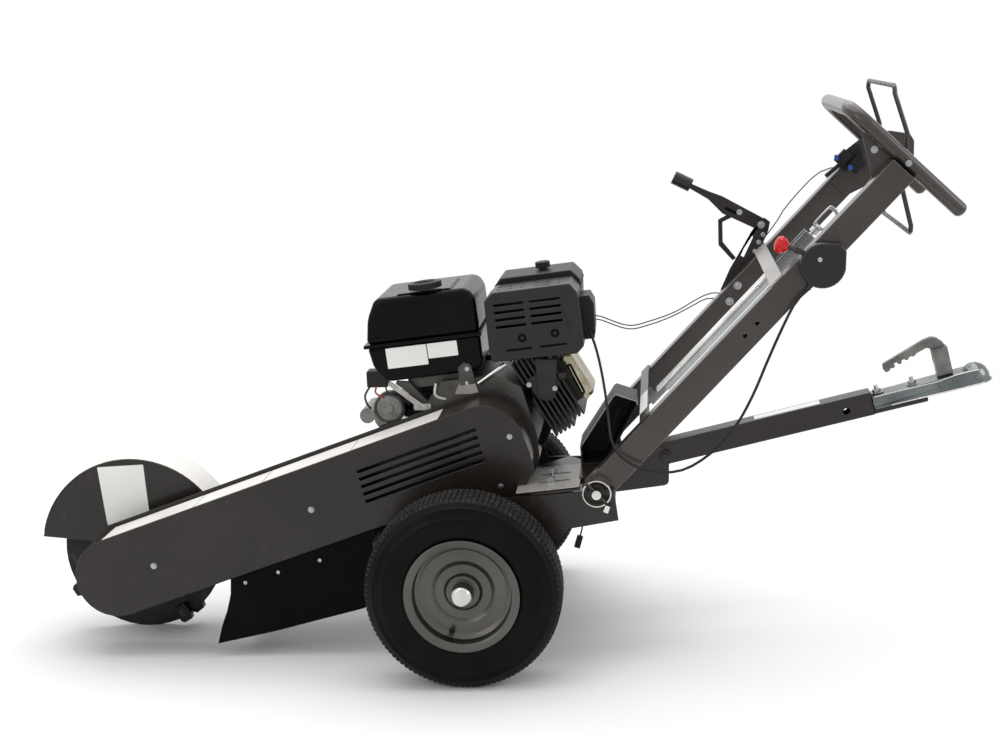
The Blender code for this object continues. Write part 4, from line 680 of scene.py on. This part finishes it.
# fasteners, one of each modelled and the rest copied
def hexBolt(name):
    washer = spinUp("washer", [(0.35, 0), (1.62, 0), (1.62, 0.2), (0.35, 0.2)], 28, 0.05)
    pickUp()
    bpy.ops.mesh.primitive_cylinder_add(vertices=6, radius=1.08, depth=0.66, location=(0, 0, 0.53))
    head = bpy.context.object
    pickTop(head)
    for thickness, rise in ((0.14, 0.07), (0.34, -0.05)):
        bpy.ops.mesh.inset(thickness=thickness)
        bpy.ops.transform.translate(value=(0, 0, rise))
    leaveEdit()
    pickUp(head)
    bpy.ops.object.transform_apply()
    return weld(name, [softEdge(head, 0.05), washer])


def panHead(name):
    return spinUp(name, [(0, 0), (1.0, 0), (1.0, 0.18), (0.86, 0.46), (0.52, 0.6), (0.26, 0.62),
                         (0.24, 0.42), (0, 0.42)], 28, 0.03)


def fitted(master, name, direction, where, size, turn=0.0):
    return setDown(copyOf(master, name), aim(direction, where, turn) @ Matrix.Scale(size, 4))


boltMaster = hexBolt("boltMaster")
screwMaster = panHead("screwMaster")
boltRows = {  # body, then the place and size of each
    "guardBolts": ("machine", [(-0.697, -0.2102, 0.2123, 0.0052), (-0.3401, -0.2102, 0.334, 0.0052),
                               (0.0925, -0.2102, 0.4862, 0.0046), (0.0695, -0.2102, 0.379, 0.0052)]),
    "skirtBolts": ("machine", [(x, y, z, 0.0058) for y in (-0.2042, 0.2042)
                               for x, z in ((-0.4977, 0.17), (-0.4232, 0.193), (-0.33, 0.219))]),
    "chassisBolts": ("machine", [(x, 0.2702, 0.3, 0.0062) for x in (-0.15, -0.08, 0.0)]),
    "gussetBolts": ("handlebar", [(0.8394, -0.2179, 1.056, 0.0056), (0.87, 0.2179, 1.03, 0.0056),
                                  (0.9, -0.2582, 1.03, 0.005), (0.9, 0.2582, 1.03, 0.005)]),
    "brakeBolts": ("handlebar", [(0.59, 0.269, 0.72, 0.0056), (0.635, 0.269, 0.833, 0.005)]),
    "engineBolts": ("machine", [(-0.1146, -0.101, 0.5294, 0.0042), (-0.0971, -0.101, 0.529, 0.0042),
                                (0.1285, -0.099, 0.5726, 0.0042), (0.1842, -0.104, 0.5647, 0.0042),
                                (-0.005, -0.1035, 0.582, 0.0042)])}


def fitBolts():
    for name, (body, places) in boltRows.items():
        master = screwMaster if name == "skirtBolts" else boltMaster
        finish = darkSteel if name == "brakeBolts" else zincPlate
        made = [fitted(master, "twin", nearSide if y < 0 else farSide, (x, y, z), 0.82 * size, 17 * i)
                for i, (x, y, z, size) in enumerate(places)]
        hang(weld(name, made), body, finish)


fitBolts()
print("bolts fitted")

# guard and hood trim
hoodTrim = {"x": -0.789, "z": 0.195, "radius": 0.2178, "edge": 0.216, "half": 0.052}
topLabels = ((0.006, 0.228), (0.23, 0.392), (0.394, 0.6), (0.602, 0.8))  # ends along the guard


def arcStrip(name, start, end, thick=0.0004):
    radius, half = hoodTrim["radius"], hoodTrim["half"]
    strip = block(name, (radius, -half, -0.0002), (radius + thick, half, 0.0002), 0)
    pickTop(strip)
    bpy.ops.mesh.spin(steps=24, angle=math.radians(end - start), center=(0, 0, 0), axis=(0, 1, 0))
    leaveEdit()
    setDown(strip, Matrix.Translation((hoodTrim["x"], 0, hoodTrim["z"]))
            @ Matrix.Rotation(-math.radians(start), 4, "Y"))
    rightWayOut(strip)
    return softEdge(strip, 0)


def guardTrim():
    sticker = [(-0.861, 0.3955), (-0.7537, 0.4), (-0.749, 0.284), (-0.849, 0.259)]
    hang(cutPlate("hoodSticker", sticker, -0.0553, -0.0556, 0.002, 0), "machine", blankLabel,
         "graphite_paint")
    hang(arcStrip("hoodBandLabels", 12, 128), "machine", creamLabel, "graphite_paint")
    made = [cutPlate("strip", oblong(onGuard, start, end, 0.0887, 0.0891), -0.208, -0.114, 0, 0)
            for start, end in topLabels]
    hang(weld("guardTopLabels", made), "machine", creamLabel, "graphite_paint")
    arc = [math.radians(a) for a in range(-2, 170, 4)]
    rolled = [(hoodTrim["x"] + hoodTrim["edge"] * math.cos(a), -0.0545,
               hoodTrim["z"] + hoodTrim["edge"] * math.sin(a)) for a in arc]
    hang(tubeMesh("hoodRolledEdge", rolled, 0.0016), "machine", paint)
    plate = cutPlate("tensionerPlate", [(0.098, 0.386), (0.134, 0.3895), (0.134, 0.412), (0.128, 0.412),
                                        (0.128, 0.3945), (0.098, 0.3915)], -0.15, -0.112, 0.001)
    post = lathe("post", [(0, 0), (0.0052, 0), (0.0052, 0.03), (0.004, 0.0315), (0.004, 0.04),
                          (0.0032, 0.041), (0, 0.041)], (0, 0, 1), (0.112, -0.13, 0.391), 20, 0.0004)
    hang(weld("beltTensioner", [plate, post]), "machine", darkSteel)


guardTrim()

# each cutter tooth gets two clamp screws
cutterTrim = {"x": -0.787, "z": 0.1845, "reach": 0.172, "phase": 56.0, "stations": 4, "apart": 4}


def toothScrews():
    made = []
    for k in range(cutterTrim["stations"]):
        angle = math.radians(-cutterTrim["phase"] + 360 / cutterTrim["stations"] * k)
        for side in (-1, 1):
            swing = angle + side * math.radians(cutterTrim["apart"])
            place = (cutterTrim["x"] + cutterTrim["reach"] * math.cos(swing), side * 0.023,
                     cutterTrim["z"] + cutterTrim["reach"] * math.sin(swing))
            made.append(fitted(boltMaster, "tooth", (0, side, 0), place, 0.006, 20 * k))
    hang(weld("toothScrews", made), "cutter", darkSteel, "cutter_steel")


toothScrews()
print("guard, hood and cutter trimmed")

# fuel tank
tank = {"near": -0.1, "far": 0.125, "round": 0.0105, "capX": -0.088, "capY": -0.074, "capZ": 0.3248,
        "lower": [(-0.194, 0.1352), (0, 0.1352), (0.016, 0.15), (0.018, 0.2135), (-0.229, 0.2135),
                  (-0.222, 0.17)],
        "upper": [(0.018, 0.2195), (0.018, 0.298), (0.002, 0.318), (-0.198, 0.318), (-0.22, 0.276),
                  (-0.23, 0.2195)],
        "rib": [(-0.15, 0.317), (-0.03, 0.317), (-0.034, 0.3215), (-0.146, 0.3215)]}


def buildTank():
    near, far = tank["near"], tank["far"]
    lower, upper, rib = (outlineOn(onEngine, tank[part]) for part in ("lower", "upper", "rib"))
    lower = softEdge(cutPlate("tankLower", lower, near, far, 0.008, 0), 0.008, 4, 42)
    upper = softEdge(cutPlate("tankUpper", upper, near, far, 0.012, 0), tank["round"], 5, 42)
    seam = cutPlate("tankSeam", oblong(onEngine, -0.236, 0.022, 0.2125, 0.2205), near - 0.0035,
                    far + 0.0035, 0.0, 0.0014)
    rib = cutPlate("tankRib", rib, -0.09, 0.065, 0.001, 0.0016)
    hang(weld("fuelTankShell", [lower, upper, seam, rib]), "machine", glossBlack, "gloss_black",
         "fuel_tank")
    labels = [cutPlate("label", oblong(onEngine, start, end, foot, 0.2085), -0.1002, -0.1005, 0.0015, 0)
              for start, end, foot in ((-0.19, -0.101, 0.164), (-0.099, -0.034, 0.176))]
    hang(weld("tankLabels", labels), "machine", blankLabel, "gloss_black")


def buildCap():
    cap = spinUp("capBody", [(0, 0), (0.03, 0), (0.0345, 0.0012), (0.0352, 0.011), (0.0335, 0.0142),
                             (0.024, 0.0152), (0.0225, 0.012), (0, 0.012)], 48, 0.0004)
    rib = block("capRib", (0.0338, -0.0013, 0.0008), (0.0362, 0.0013, 0.0128), 0.0006, 1)
    repeatRound(rib, 32)
    grip = block("capGrip", (-0.022, -0.0036, 0.0115), (0.022, 0.0036, 0.016), 0.0014)
    place = at(onEngine(tank["capX"], tank["capZ"]), tank["capY"])
    hang(setDown(weld("fuelCapRibbed", [cap, rib, grip]), aim(upFrom("engine"), place)), "cap",
         blackPlastic, "black_plastic", "fuel_cap")


buildTank()
buildCap()
print("fuel tank and cap built")


# engine trim
def guardEyeletsAndHoleShade():
    made = []
    for u, v in ((0.11, 0.201), (0.1807, 0.2031)):
        made.append(lathe("eyelet", [(0.0042, 0), (0.0092, 0), (0.0084, 0.0016), (0.0052, 0.002),
                                     (0.0042, 0.0012)], nearSide, at(onEngine(u, v), -0.1279), 28))
    for start, end in ((0.0728, 0.1278), (0.1457, 0.2026)):
        made.append(cutPlate("louvre", oblong(onEngine, start, end, 0.1752, 0.18), -0.1279, -0.1286,
                             0.002, 0.0002))
    for u in (0.07, 0.095, 0.12, 0.15, 0.175, 0.2):
        for y in (-0.095, -0.06):
            made.append(lathe("hole", [(0, 0), (0.0034, 0), (0.004, 0.0003), (0, 0.0003)],
                              upFrom("engine"), at(onEngine(u, 0.304), y), 16))
    # the holes and louvres are thin near-black discs and plates: painted shade inside the openings
    hang(weld("mufflerEyeletsAndHoleShade", made), "machine", blackAndPaintedShade, "dark_steel")
    hang(cutPlate("airCleanerSeal", oblong(onEngine, 0.0505, 0.2415, 0.2815, 0.285), -0.0066, 0.1292,
                  0.0, 0.0008), "machine", softRubber)


def bracketsAndPipes():
    strap = cutPlate("strap", [(-0.179, 0.58), (-0.172, 0.588), (-0.1, 0.533), (-0.088, 0.533),
                               (-0.088, 0.522), (-0.106, 0.521)], -0.1005, -0.097, 0.003)
    ear = cutPlate("ear", [(-0.033, 0.556), (-0.011, 0.605), (-0.0085, 0.623), (0.003, 0.623),
                           (0.006, 0.605), (0.02, 0.556)], -0.103, -0.096, 0.005)
    foot = cutPlate("foot", [(-0.124, 0.522), (-0.086, 0.522), (-0.086, 0.536), (-0.124, 0.536)],
                    -0.1008, -0.094, 0.003)
    hang(weld("alloyBrackets", [strap, ear, foot]), "machine", castAlloy)
    hang(fitted(boltMaster, "bolt", nearSide, (-0.0028, -0.1031, 0.612), 0.0052), "machine", zincPlate)
    hang(pipe("fuelPipe", [(-0.0728, -0.1, 0.58), (-0.075, -0.104, 0.568), (-0.0745, -0.104, 0.556),
                           (-0.064, -0.1, 0.548), (-0.05, -0.094, 0.544)], 0.003),
         "machine", clearPipe, "zinc_plate")
    hang(pipe("breatherPipe", [(0.02, -0.1, 0.579), (0.036, -0.102, 0.59),
                               (0.056, -0.102, 0.604), (0.08, -0.1, 0.62)], 0.0052),
         "machine", brightSteel)
    shroud = cutPlate("shroud", [(0.143, 0.63), (0.19, 0.626), (0.186, 0.548), (0.178, 0.539),
                                 (0.16, 0.537), (0.15, 0.544)], -0.1035, -0.0985, 0.004)
    boss = lathe("boss", [(0, 0), (0.009, 0), (0.009, 0.006), (0.0066, 0.008), (0, 0.008)],
                 nearSide, (0.2001, -0.096, 0.5906), 24, 0.0004)
    hang(weld("coolingShroud", [shroud, boss]), "machine", blackAlloy)


starter = {"centre": (-0.178, -0.0982, 0.528)}


def starterTrim():
    hang(lathe("face", [(0, 0), (0.0275, 0), (0.0275, 0.0015), (0.016, 0.003), (0.011, 0.003),
                        (0.01, 0.0075), (0, 0.0085)], nearSide, starter["centre"], 32, 0.0005),
         "machine", leverZinc, "zinc_plate")
    hang(lathe("collar", [(0.0277, -0.03), (0.034, -0.03), (0.0345, -0.002), (0.0325, 0.003),
                          (0.029, 0.0036), (0.0277, 0.002)], nearSide, starter["centre"], 40, 0.0004),
         "machine", darkSteel)
    hang(block("chargeModule", (-0.226, -0.09, 0.572), (-0.18, -0.052, 0.608), 0.003, 3),
         "machine", blackPlastic)
    leads = [pipe("lead", [(-0.22, -0.088, 0.574), (-0.23, -0.096, 0.556),
                           (-0.226, -0.098, 0.538), (-0.22, -0.09, 0.526)], 0.0022),
             pipe("lead", [(-0.185, -0.09, 0.575), (-0.178, -0.102, 0.564),
                           (-0.156, -0.102, 0.554), (-0.14, -0.098, 0.54)], 0.0018)]
    hang(weld("starterLeads", leads), "machine", softRubber)
    hang(pipe("positiveLead", [(-0.205, -0.09, 0.575), (-0.206, -0.1, 0.564),
                               (-0.196, -0.102, 0.556), (-0.186, -0.098, 0.55)], 0.002),
         "machine", redWire, "red_plastic")


def recoilTrim():
    made = []
    for inner, outer, count in ((0.034, 0.062, 20), (0.07, 0.094, 30)):
        slit = block("slit", (inner, -0.0024, 0), (outer, 0.0024, 0.0012), 0.001, 2)
        repeatRound(slit, count)
        made.append(slit)
    made.append(spinUp("hubRing", [(0.02, 0), (0.029, 0), (0.028, 0.0024), (0.021, 0.003)], 40, 0.0005))
    hang(setDown(weld("recoilLouvres", made), aim(farSide, at(onEngine(0, 0), 0.1961))), "machine",
         darkSteel)


guardEyeletsAndHoleShade()
bracketsAndPipes()
starterTrim()
recoilTrim()
print("engine trimmed")


# handlebar, latch and switch details
def handleTrim():
    pin = lathe("pin", [(0, -0.026), (0.0028, -0.026), (0.0036, -0.0245), (0.0036, 0.0245),
                        (0.0028, 0.026), (0, 0.026)], nearSide, (0.6231, 0, 0.7556), 20, 0.0003)
    nut = fitted(boltMaster, "nut", tubeAlong, at(onTube(0.69, 0.006), 0), 0.007)
    hang(pin, "handlebar", brightSteel)
    hang(nut, "latch", zincPlate, "bright_steel")
    blues = [block("blue", (0.806, 0.188, 1.006), (0.815, 0.1962, 1.018), 0.001),
             block("blue", (0.836, 0.188, 0.984), (0.846, 0.1962, 0.994), 0.001)]
    hang(weld("switchConnectors", blues), "handlebar", blueNylon, "black_plastic")
    hang(pipe("switchSleeve", [(0.82, 0.205, 0.996), (0.805, 0.204, 0.984), (0.788, 0.205, 0.97)],
              0.0048), "handlebar", softRubber)


pivot = {"x": 0.274, "z": 0.38, "ringY": 0.284, "tipY": 0.2921}


def pivotTrim():
    for side, tag in ((-1, "near"), (1, "far")):
        pickUp()
        bpy.ops.mesh.primitive_torus_add(major_radius=0.0285, minor_radius=0.0022, major_segments=48,
                                         minor_segments=12)
        hoop = bpy.context.object
        editAll(hoop)
        bpy.ops.transform.resize(value=(1.0, 0.95, 1.0))
        leaveEdit()
        setDown(hoop, aim((0, side, 0), (pivot["x"], side * pivot["ringY"], pivot["z"])))
        bpy.ops.object.shade_smooth()
        tip = lathe("tip", [(0, 0), (0.0088, 0), (0.0096, 0.0008), (0.0096, 0.002), (0.004, 0.0026),
                            (0.0034, 0.001), (0, 0.001)], (0, side, 0),
                    (pivot["x"], side * pivot["tipY"], pivot["z"]), 28)
        hang(weld(tag + "LynchRing", [hoop, tip]), "machine", brightSteel)


def towerTrim():
    rim = [(0.235, 0.4185), (0.234, 0.433), (0.3082, 0.544), (0.3142, 0.5475), (0.357, 0.5318),
           (0.3598, 0.5242)]
    # a pale tube along the black tower's rim, in the paint slot: painted highlight on the rolled edge
    hang(tubeMesh("towerEdgeHighlight", [at(place, -0.1002) for place in rim], 0.001), "machine", paleSteelAndPaintedLight,
         "graphite_paint")
    leads = [pipe("lead", [(0.285 + 0.006 * k, -0.05 - 0.008 * k, 0.45),
                           (0.3 + 0.004 * k, -0.066 - 0.006 * k, 0.478),
                           (0.318, -0.07 - 0.004 * k, 0.5 + 0.004 * k),
                           (0.336, -0.064, 0.516 - 0.003 * k)], 0.0018, 0.005) for k in range(3)]
    hang(weld("towerLeads", leads), "machine", softRubber)


handleTrim()
pivotTrim()
towerTrim()
print("handlebar, pivots and tower trimmed")


# skirts, deck top, coupler and switch blocks
def skirtSheets():
    outline = [(-0.529, 0.196), (-0.533, 0.144), (-0.543, 0.108), (-0.557, 0.073),
               (-0.57, 0.03), (-0.447, 0.056), (-0.25, 0.106), (-0.205, 0.12),
               (-0.205, 0.287)]
    # near-black though they keep the hood's paint slot: partly a blacker skirt, partly painted shade under
    # the hood
    for tag, near, far in (("near", -0.204, -0.2), ("far", 0.2, 0.204)):
        hang(cutPlate(tag + "SkirtSheet", outline, near, far, 0.0, 0.001), "machine", blackAndPaintedShade,
             "graphite_paint", "skirt_" + tag)


deck = {"slope": math.tan(math.radians(5.5)), "base": 0.385, "thick": 0.0016, "boltX": 0.176,
        "bands": ((0.106, 0.238, -0.266, -0.2096), (0.106, 0.15, -0.2096, -0.08),  # x0, x1, y0, y1
                  (0.215, 0.234, -0.2096, -0.08), (0.15, 0.215, -0.2004, -0.1496),
                  (0.15, 0.215, -0.1404, -0.08))}


def deckLevel(x):
    return deck["base"] + (x - 0.2) * deck["slope"]


def deckTop():
    made = []
    # pale metallic bands on the graphite-painted deck, with gaps left as the slots: painted light on the
    # deck's top
    for x0, x1, y0, y1 in deck["bands"]:
        z0, z1 = (deckLevel(x) + 0.0022 for x in (x0, x1))
        edge = [(x0, z0), (x1, z1), (x1, z1 + deck["thick"]), (x0, z0 + deck["thick"])]
        made.append(cutPlate("band", edge, y0, y1, 0, 0))
    hang(weld("deckTopPaintedLight", made), "machine", paleSteelAndPaintedLight, "graphite_paint")
    x, z = deck["boltX"], deckLevel(deck["boltX"]) + 0.008
    rod = tubeMesh("rod", [(x, -0.215, z), (x, -0.135, z)], 0.0032)
    nuts = [fitted(boltMaster, "nut", (0, 1, 0), (x, y, z), 0.005) for y in (-0.213, -0.205, -0.145, -0.137)]
    hang(weld("deckTieBolt", [rod] + nuts), "machine", zincPlate)


def couplerTrim():
    # bright steel tubes along the zinc coupler's top edges and lower lips: painted highlights
    top = ((0.566, 0.015), (0.7, 0.015), (0.745, 0.0205), (0.79, 0.0205))
    edges = [tubeMesh("edge", [(onBar(a, 0)[0], y, onBar(a, b)[1]) for a, b in top], 0.0011)
             for y in (-0.0285, 0.0285)]
    edges += [tubeMesh("lip", [at(onBar(a, -0.01), y) for a in (0.6, 0.8)], 0.0015)
              for y in (-0.0345, 0.0345)]
    studs = []
    for a in (0.579, 0.656):
        foot = at(onBar(a, 0.016), 0)
        studs.append(lathe("stud", [(0, 0), (0.0044, 0), (0.0044, 0.015), (0.0038, 0.0162), (0, 0.0162)],
                           upFrom("bar"), foot, 20))
        studs.append(fitted(boltMaster, "nut", upFrom("bar"), foot, 0.0088, 20))
    hang(weld("couplerStuds", studs), "machine", zincPlate)
    hang(weld("couplerEdgeHighlights", edges), "machine", brightSteel, "zinc_plate")
    waves = [lathe("wave", [(0, -0.0061), (0.0054, -0.0061), (0.0054, 0.0061), (0, 0.0061)], nearSide,
                   at(place, 0), 24, 0.001)
             for place in ((0.9074, 0.5765), (0.9222, 0.585), (0.9369, 0.5934), (0.951, 0.6012))]
    hang(weld("gripWaves", waves), "coupler_lever", leverZinc, "zinc_plate")
    hang(cutPlate("barLabel", oblong(onBar, 0.31, 0.455, 0.0252, 0.0256), -0.017, 0.017, 0, 0), "machine",
         blankLabel, "graphite_paint")


def switchBlocks():
    made = []
    for x, z, wide, tall in ((0.826, 1.01, 0.034, 0.024), (0.856, 0.995, 0.034, 0.028)):
        case = block("case", (-wide / 2, 0.1962, -tall / 2), (wide / 2, 0.2134, tall / 2), 0.0016)
        button = block("button", (-0.005, 0.194, -0.004), (0.005, 0.1964, 0.004), 0.0008)
        made.append(setDown(weld("case", [case, button]),
                            Matrix.Translation((x, 0, z)) @ Matrix.Rotation(-tubeTilt, 4, "Y")))
    made.append(cutPlate("carrier", [(0.81, 1.006), (0.83, 0.978), (0.872, 0.998),
                                     (0.864, 1.038), (0.842, 1.034)], 0.209, 0.213, 0.003))
    hang(weld("switchBlocks", made), "handlebar", blackPlastic, "black_plastic", "switch_box")


def latchTrim():
    rails = [tubeMesh("rail", [at(onTube(a, 0.0155), y) for a in (0.2, 0.543)], 0.0038)
             for y in (-0.013, 0.013)]
    hang(weld("latchRails", rails), "handlebar", brightSteel)
    hang(cutPlate("braceLabel", oblong(onTube, 0.166, 0.189, 0.034, 0.0344), -0.19, -0.02, 0, 0),
         "handlebar", blankLabel, "graphite_paint")


skirtSheets()
deckTop()
couplerTrim()
switchBlocks()
latchTrim()
print("skirts, deck, coupler and switch blocks made")


# pieces seen behind the guard and at the handlebar's ends
def engineDepths():
    hang(weld("governorBox", [block("box", (-0.15, 0.002, 0.5), (-0.012, 0.06, 0.594), 0.004, 3),
                              block("link", (-0.12, -0.03, 0.548), (-0.06, 0.002, 0.562), 0.002)]),
         "machine", blackPlastic)
    hang(cutPlate("coverPanel", [(0.208, 0.6075), (0.2175, 0.61), (0.248, 0.546), (0.2385, 0.542)],
                  -0.0601, -0.0606, 0.003, 0), "machine", blackAndPaintedShade, "black_alloy")
    rib = cutPlate("rib", [(0.213, 0.604), (0.215, 0.6045), (0.2425, 0.547), (0.2405, 0.5462)],
                   -0.0604, -0.0625, 0, 0.0003)
    bolts = [fitted(boltMaster, "bolt", nearSide, (x, -0.0604, z), 0.004)
             for x, z in ((0.2085, 0.6205), (0.25, 0.538))]
    hang(weld("coverRib", [rib] + bolts), "machine", yellowZinc)


def loopEnds():
    x, z = onTube(0.9048, -0.1405)
    down = tuple(-c for c in upFrom("tube"))
    caps = [lathe("cap", [(0, 0.009), (0.007, 0.0078), (0.012, 0.0045), (0.0149, 0.0005),
                          (0.0152, -0.003), (0, -0.003)], down, (x, y, z), 32) for y in (-0.234, 0.234)]
    hang(weld("loopEndCaps", caps), "handlebar", handlePaint, "graphite_paint")


throttle = {"x": 0.733, "z": 0.837, "radius": 0.0455, "near": -0.2823, "far": -0.2583}


def throttleCase():
    outline = [(throttle["x"] + throttle["radius"] * math.cos(math.radians(a)),
                throttle["z"] + throttle["radius"] * math.sin(math.radians(a))) for a in range(84, 352, 12)]
    outline += [(0.779, 0.864), (0.769, 0.88)]
    case = softEdge(cutPlate("case", outline, throttle["near"], throttle["far"], 0.0, 0), 0.005, 4, 42)
    dimple = lathe("dimple", [(0.0022, 0), (0.0034, 0), (0.0034, 0.0006), (0.0022, 0.0006)], nearSide,
                   (0.74, -0.2822, 0.863), 20)
    ferrule = lathe("ferrule", [(0, -0.004), (0.0058, -0.004), (0.0058, 0.01), (0.0046, 0.012),
                                (0.0046, 0.018), (0, 0.018)], (-0.508, 0, -0.861),
                    (0.714, -0.2703, 0.805), 20, 0.0004)
    hang(weld("throttleCase", [case, dimple, ferrule]), "handlebar", casePlastic, "black_plastic",
         "throttle_housing")
    hang(fitted(screwMaster, "screw", nearSide, (0.727, -0.2826, 0.85), 0.0052), "handlebar", zincPlate)


brakeRow = ((0.648, 0.2581, 0.86, 0.0054, 5.4), (0.652, 0.2581, 0.837, 0.0036, 3.6),  # place, size, turn
            (0.642, 0.2581, 0.82, 0.0036, 3.6), (0.633, 0.2581, 0.799, 0.0036, 3.6),
            (0.62, 0.2581, 0.765, 0.0046, 4.6), (0.5906, 0.2178, 0.7268, 0.0058, 0),
            (0.5716, 0.2178, 0.6905, 0.0058, 0))


def brakeTrim():
    made = [fitted(boltMaster, "bolt", nearSide, (x, y, z), size, turn) for x, y, z, size, turn in brakeRow]
    hang(weld("brakeScrews", made), "handlebar", zincPlate)
    # a near-black sheet in the shape of the lever's slot: painted shade of the opening
    slotShadePlate = cutPlate("slotShadePlate", [(0.565, 0.898), (0.591, 0.884), (0.594, 0.89),
                                       (0.568, 0.904)], 0.2634, 0.2639, 0.002, 0)
    stud = fitted(boltMaster, "bolt", nearSide, (0.599, 0.2637, 0.89), 0.0042)
    hang(slotShadePlate, "brake", blackAndPaintedShade, "graphite_paint")
    hang(stud, "brake", zincPlate)


def lynchTab():
    hang(cutPlate("lynchTab", [(0.286, 0.342), (0.296, 0.338), (0.301, 0.352), (0.292, 0.356)],
                  -0.285, -0.284, 0.002, 0), "machine", blankLabel, "bright_steel")


engineDepths()
loopEnds()
throttleCase()
brakeTrim()
lynchTab()
print("housings and small hardware made")

for master in (boltMaster, screwMaster):
    bpy.data.objects.remove(master)
